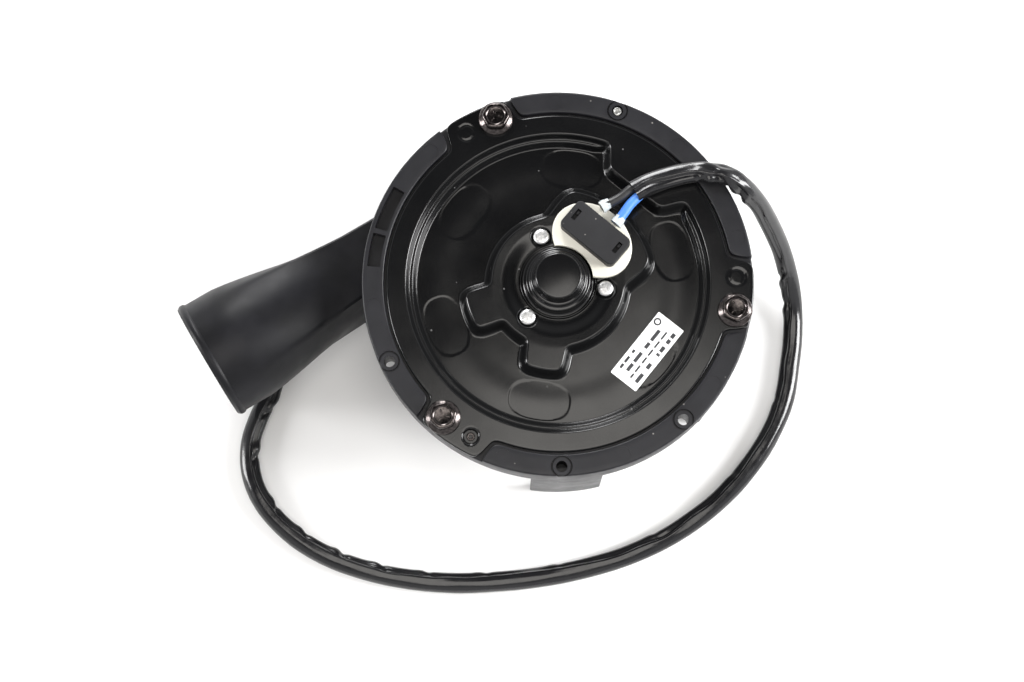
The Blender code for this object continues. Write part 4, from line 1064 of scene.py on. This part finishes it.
def make_rivet(number, angle):
    """Rivet with a slightly domed, hammered head."""
    head = HUB_Z / MM - 0.3
    profile = [(0, head + 1.5, 0), (2.2, head + 1.4, 0.8), (3.1, head + 0.9, 0.4), (3.2, head, 0.2),
               (1.6, head, 0.0), (1.6, 62.9, 0.1), (2.5, 62.9, 0.2), (2.5, 62.0, 0.2), (0, 61.8, 0)]
    rivet = turned(f"rivet_{number}", profile, polar(RIVET_PITCH_R, angle), 64, 5)
    for vert in rivet.data.vertices:
        if vert.co.z > (head + 0.8) * MM:
            vert.co.z += 0.1 * MM * noise.noise(vert.co * 900.0)
    return finish_piece(rivet, RIVET_STEEL, replaced=[f"plate_rivet_{number}"])


def make_ring_screw():
    profile = [(0, 65.0, 0), (1.0, 65.0, 0.1), (1.3, 65.6, 0.2), (1.9, 65.3, 0.2), (1.9, 54.0, 0.2),
               (1.5, 53.6, 0.1), (0, 53.6, 0)]
    screw = turned("set_screw", profile, polar(SCREW_PITCH_R, SCREW_ANGLES[0]), 48)
    return finish_piece(screw, ZINC_STEEL, replaced=["ring_screw"])


# ---------------------------------------------------------------- connector and label

def make_connector():
    """Cream base, cut round the bearing cup, and the dark cap clipped over its terminals."""
    outline = ellipse(BASE_CENTRE, 17.4 * MM, 13.9 * MM, CAP_TURN)
    top = HUB_Z + 2.2 * MM
    base = rounded_prism("insulator", outline, HUB_Z + 0.3 * MM, top, 0.6 * MM)
    core = block("insulator_core", (24.0, 10.2, 1.2), CAP_CENTRE, CAP_TURN, HUB_Z + MM, top + 2.6 * MM, 0.3)
    combine(base, [pin_cutter(0.0, 0.0, 14.1, 50.0, 80.0, 120)], "DIFFERENCE")
    clear = [pin_cutter(RIVET_PITCH_R, angle, 3.7, 60.0, 80.0) for angle in BOLT_ANGLES]
    combine(base, clear, "DIFFERENCE")
    base = merged("insulator", [base, core])
    finish_piece(base, CREAM_PLASTIC, replaced=["connector_base"])

    along = heading(CAP_TURN)
    across = along.orthogonal()
    turn, cap_top = CAP_TURN + math.pi / 2, FACE_Z + 8.2 * MM
    cap = block("cap", (27.4, 13.6, 2.4), CAP_CENTRE, CAP_TURN, HUB_Z + 2.3 * MM, cap_top, 0.55, 0.2, 5, 8)
    cutters = []
    for side in (-1, 1):
        place = CAP_CENTRE + along * side * 10.6 * MM + across * 0.8 * MM
        cutters.append(block("latch_slot", (4.9, 1.9, 0.25), place, turn, cap_top - 2.6 * MM,
                             cap_top + MM, 0.1))
    combine(cap, cutters, "DIFFERENCE")
    finish_piece(cap, CAP_PLASTIC, replaced=["connector_cap"])
    for number, side in enumerate((-1, 1), start=1):
        place = CAP_CENTRE + along * side * 10.6 * MM + across * 2.0 * MM
        tab = block(f"latch_tab_{number}", (1.7, 1.3, 0.2), place, turn, cap_top - 2.8 * MM,
                    cap_top - 0.7 * MM, 0.2)
        finish_piece(tab, CAP_PLASTIC)


def make_label():
    """White label with rows of plain bars and a ring, which say nothing."""
    centre, turn = Vector((16.6, -42.3)) * MM, math.radians(20.5)
    face = block("label", (31.6, 12.8, 0.4), centre, turn, DISH_Z + 0.02 * MM, DISH_Z + 0.14 * MM, 0.05)
    finish_piece(face, PAPER, replaced=["rating_label"])
    along = heading(turn)
    across = along.orthogonal()
    ink = []
    bottom, top = DISH_Z + 0.1 * MM, DISH_Z + 0.17 * MM
    rows = ((4.4, 1.1, ((-11.0, 2.2), (-7.6, 3.0), (-3.4, 1.6))),
            (1.5, 1.5, ((-9.4, 3.6), (-4.2, 4.8), (1.9, 2.8), (7.2, 5.4))),
            (-1.3, 0.8, ((-11.6, 2.2), (-8.0, 3.4), (-3.6, 3.0), (0.4, 3.2), (4.6, 3.4), (9.2, 3.8))),
            (-4.2, 1.6, ((-10.6, 4.4), (-4.4, 2.6), (1.6, 1.2), (4.4, 2.6), (8.4, 2.0), (11.4, 2.2))))
    for height, thick, bars in rows:
        for place, long in bars:
            middle_point = centre + along * place * MM + across * height * MM
            ink.append(block("ink_bar", (long, thick, 0.15), middle_point, turn, bottom, top, 0.02, count=2))
    ring_place = centre + along * 12.2 * MM + across * 4.3 * MM
    ring_profile = [(0.9, top / MM, 0), (1.6, top / MM, 0), (1.6, bottom / MM, 0), (0.9, bottom / MM, 0)]
    ink.append(turned("ink_ring", ring_profile, AXIS + Vector((*ring_place, 0.0)), 40))
    finish_piece(merged("label_print", ink), INK)


# ---------------------------------------------------------------- inside

BRUSH_ANGLES = (46.5, 166.5, 226.5, 346.5)
BRUSH_Z = 55.5 * MM
SPRING_START = 23.0 * MM
SPRING_END = 32.8 * MM


def dress(nodes, finish):
    """Give CAD pieces whose shape is right a finished material."""
    for node in nodes:
        NODES[node].data.materials.clear()
        NODES[node].data.materials.append(finish)


def make_brush_spring(number, angle):
    """Coil spring of five turns behind a brush, along its channel."""
    out = heading(math.radians(angle)).to_3d()
    across = Vector((-out.y, out.x, 0.0))
    turns, per_turn, coil_r, wire_r = 5, 24, 1.6 * MM, 0.25 * MM
    points = []
    for i in range(turns * per_turn + 1):
        t = i / (turns * per_turn)
        spin = 2 * math.pi * turns * t
        height = Vector((0.0, 0.0, BRUSH_Z + coil_r * math.sin(spin)))
        place = SPRING_START + (SPRING_END - SPRING_START) * t
        points.append(AXIS + out * place + across * coil_r * math.cos(spin) + height)
    spring = sweep(f"spring_wire_{number}", points, round_wire(wire_r), sides=12, up=out)
    finish_piece(spring, BRIGHT_STEEL, replaced=[f"brush_spring_{number}"])
    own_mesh(spring)


def dress_inside():
    dress(["motor_shaft", "upper_bearing", "lower_bearing", "upper_bearing_race", "lower_bearing_race"],
          BRIGHT_STEEL)
    dress(["motor_cup", "shaft_spacer", "impeller_washer", "impeller_nut"]
          + [f"casing_screw_{k}" for k in range(1, 4)], ZINC_STEEL)
    dress(["armature", "commutator"], COPPER)
    dress([f"magnet_{k}" for k in range(1, 7)], FERRITE)
    dress([f"brush_{k}" for k in range(1, 5)], CARBON)
    dress([f"threaded_insert_{k}" for k in range(1, 4)] + ["terminal_1", "terminal_2"], BRASS)
    dress(["brush_card"], CARD)
    dress(["plate_gasket"], RUBBER)
    dress(["impeller"], IMPELLER_PLASTIC)


make_studio()
make_sleeve()
make_leads()
make_ring()
make_screw_bosses()
make_legs()
make_volute()
make_plate()
make_dowel()
make_bearing_cup()
for bolt_number, bolt_angle in enumerate(BOLT_ANGLES, start=1):
    make_bolt(bolt_number, bolt_angle)
    make_rivet(bolt_number, bolt_angle)
make_ring_screw()
make_connector()
make_label()
for spring_number, brush_angle in enumerate(BRUSH_ANGLES, start=1):
    make_brush_spring(spring_number, brush_angle)
dress_inside()
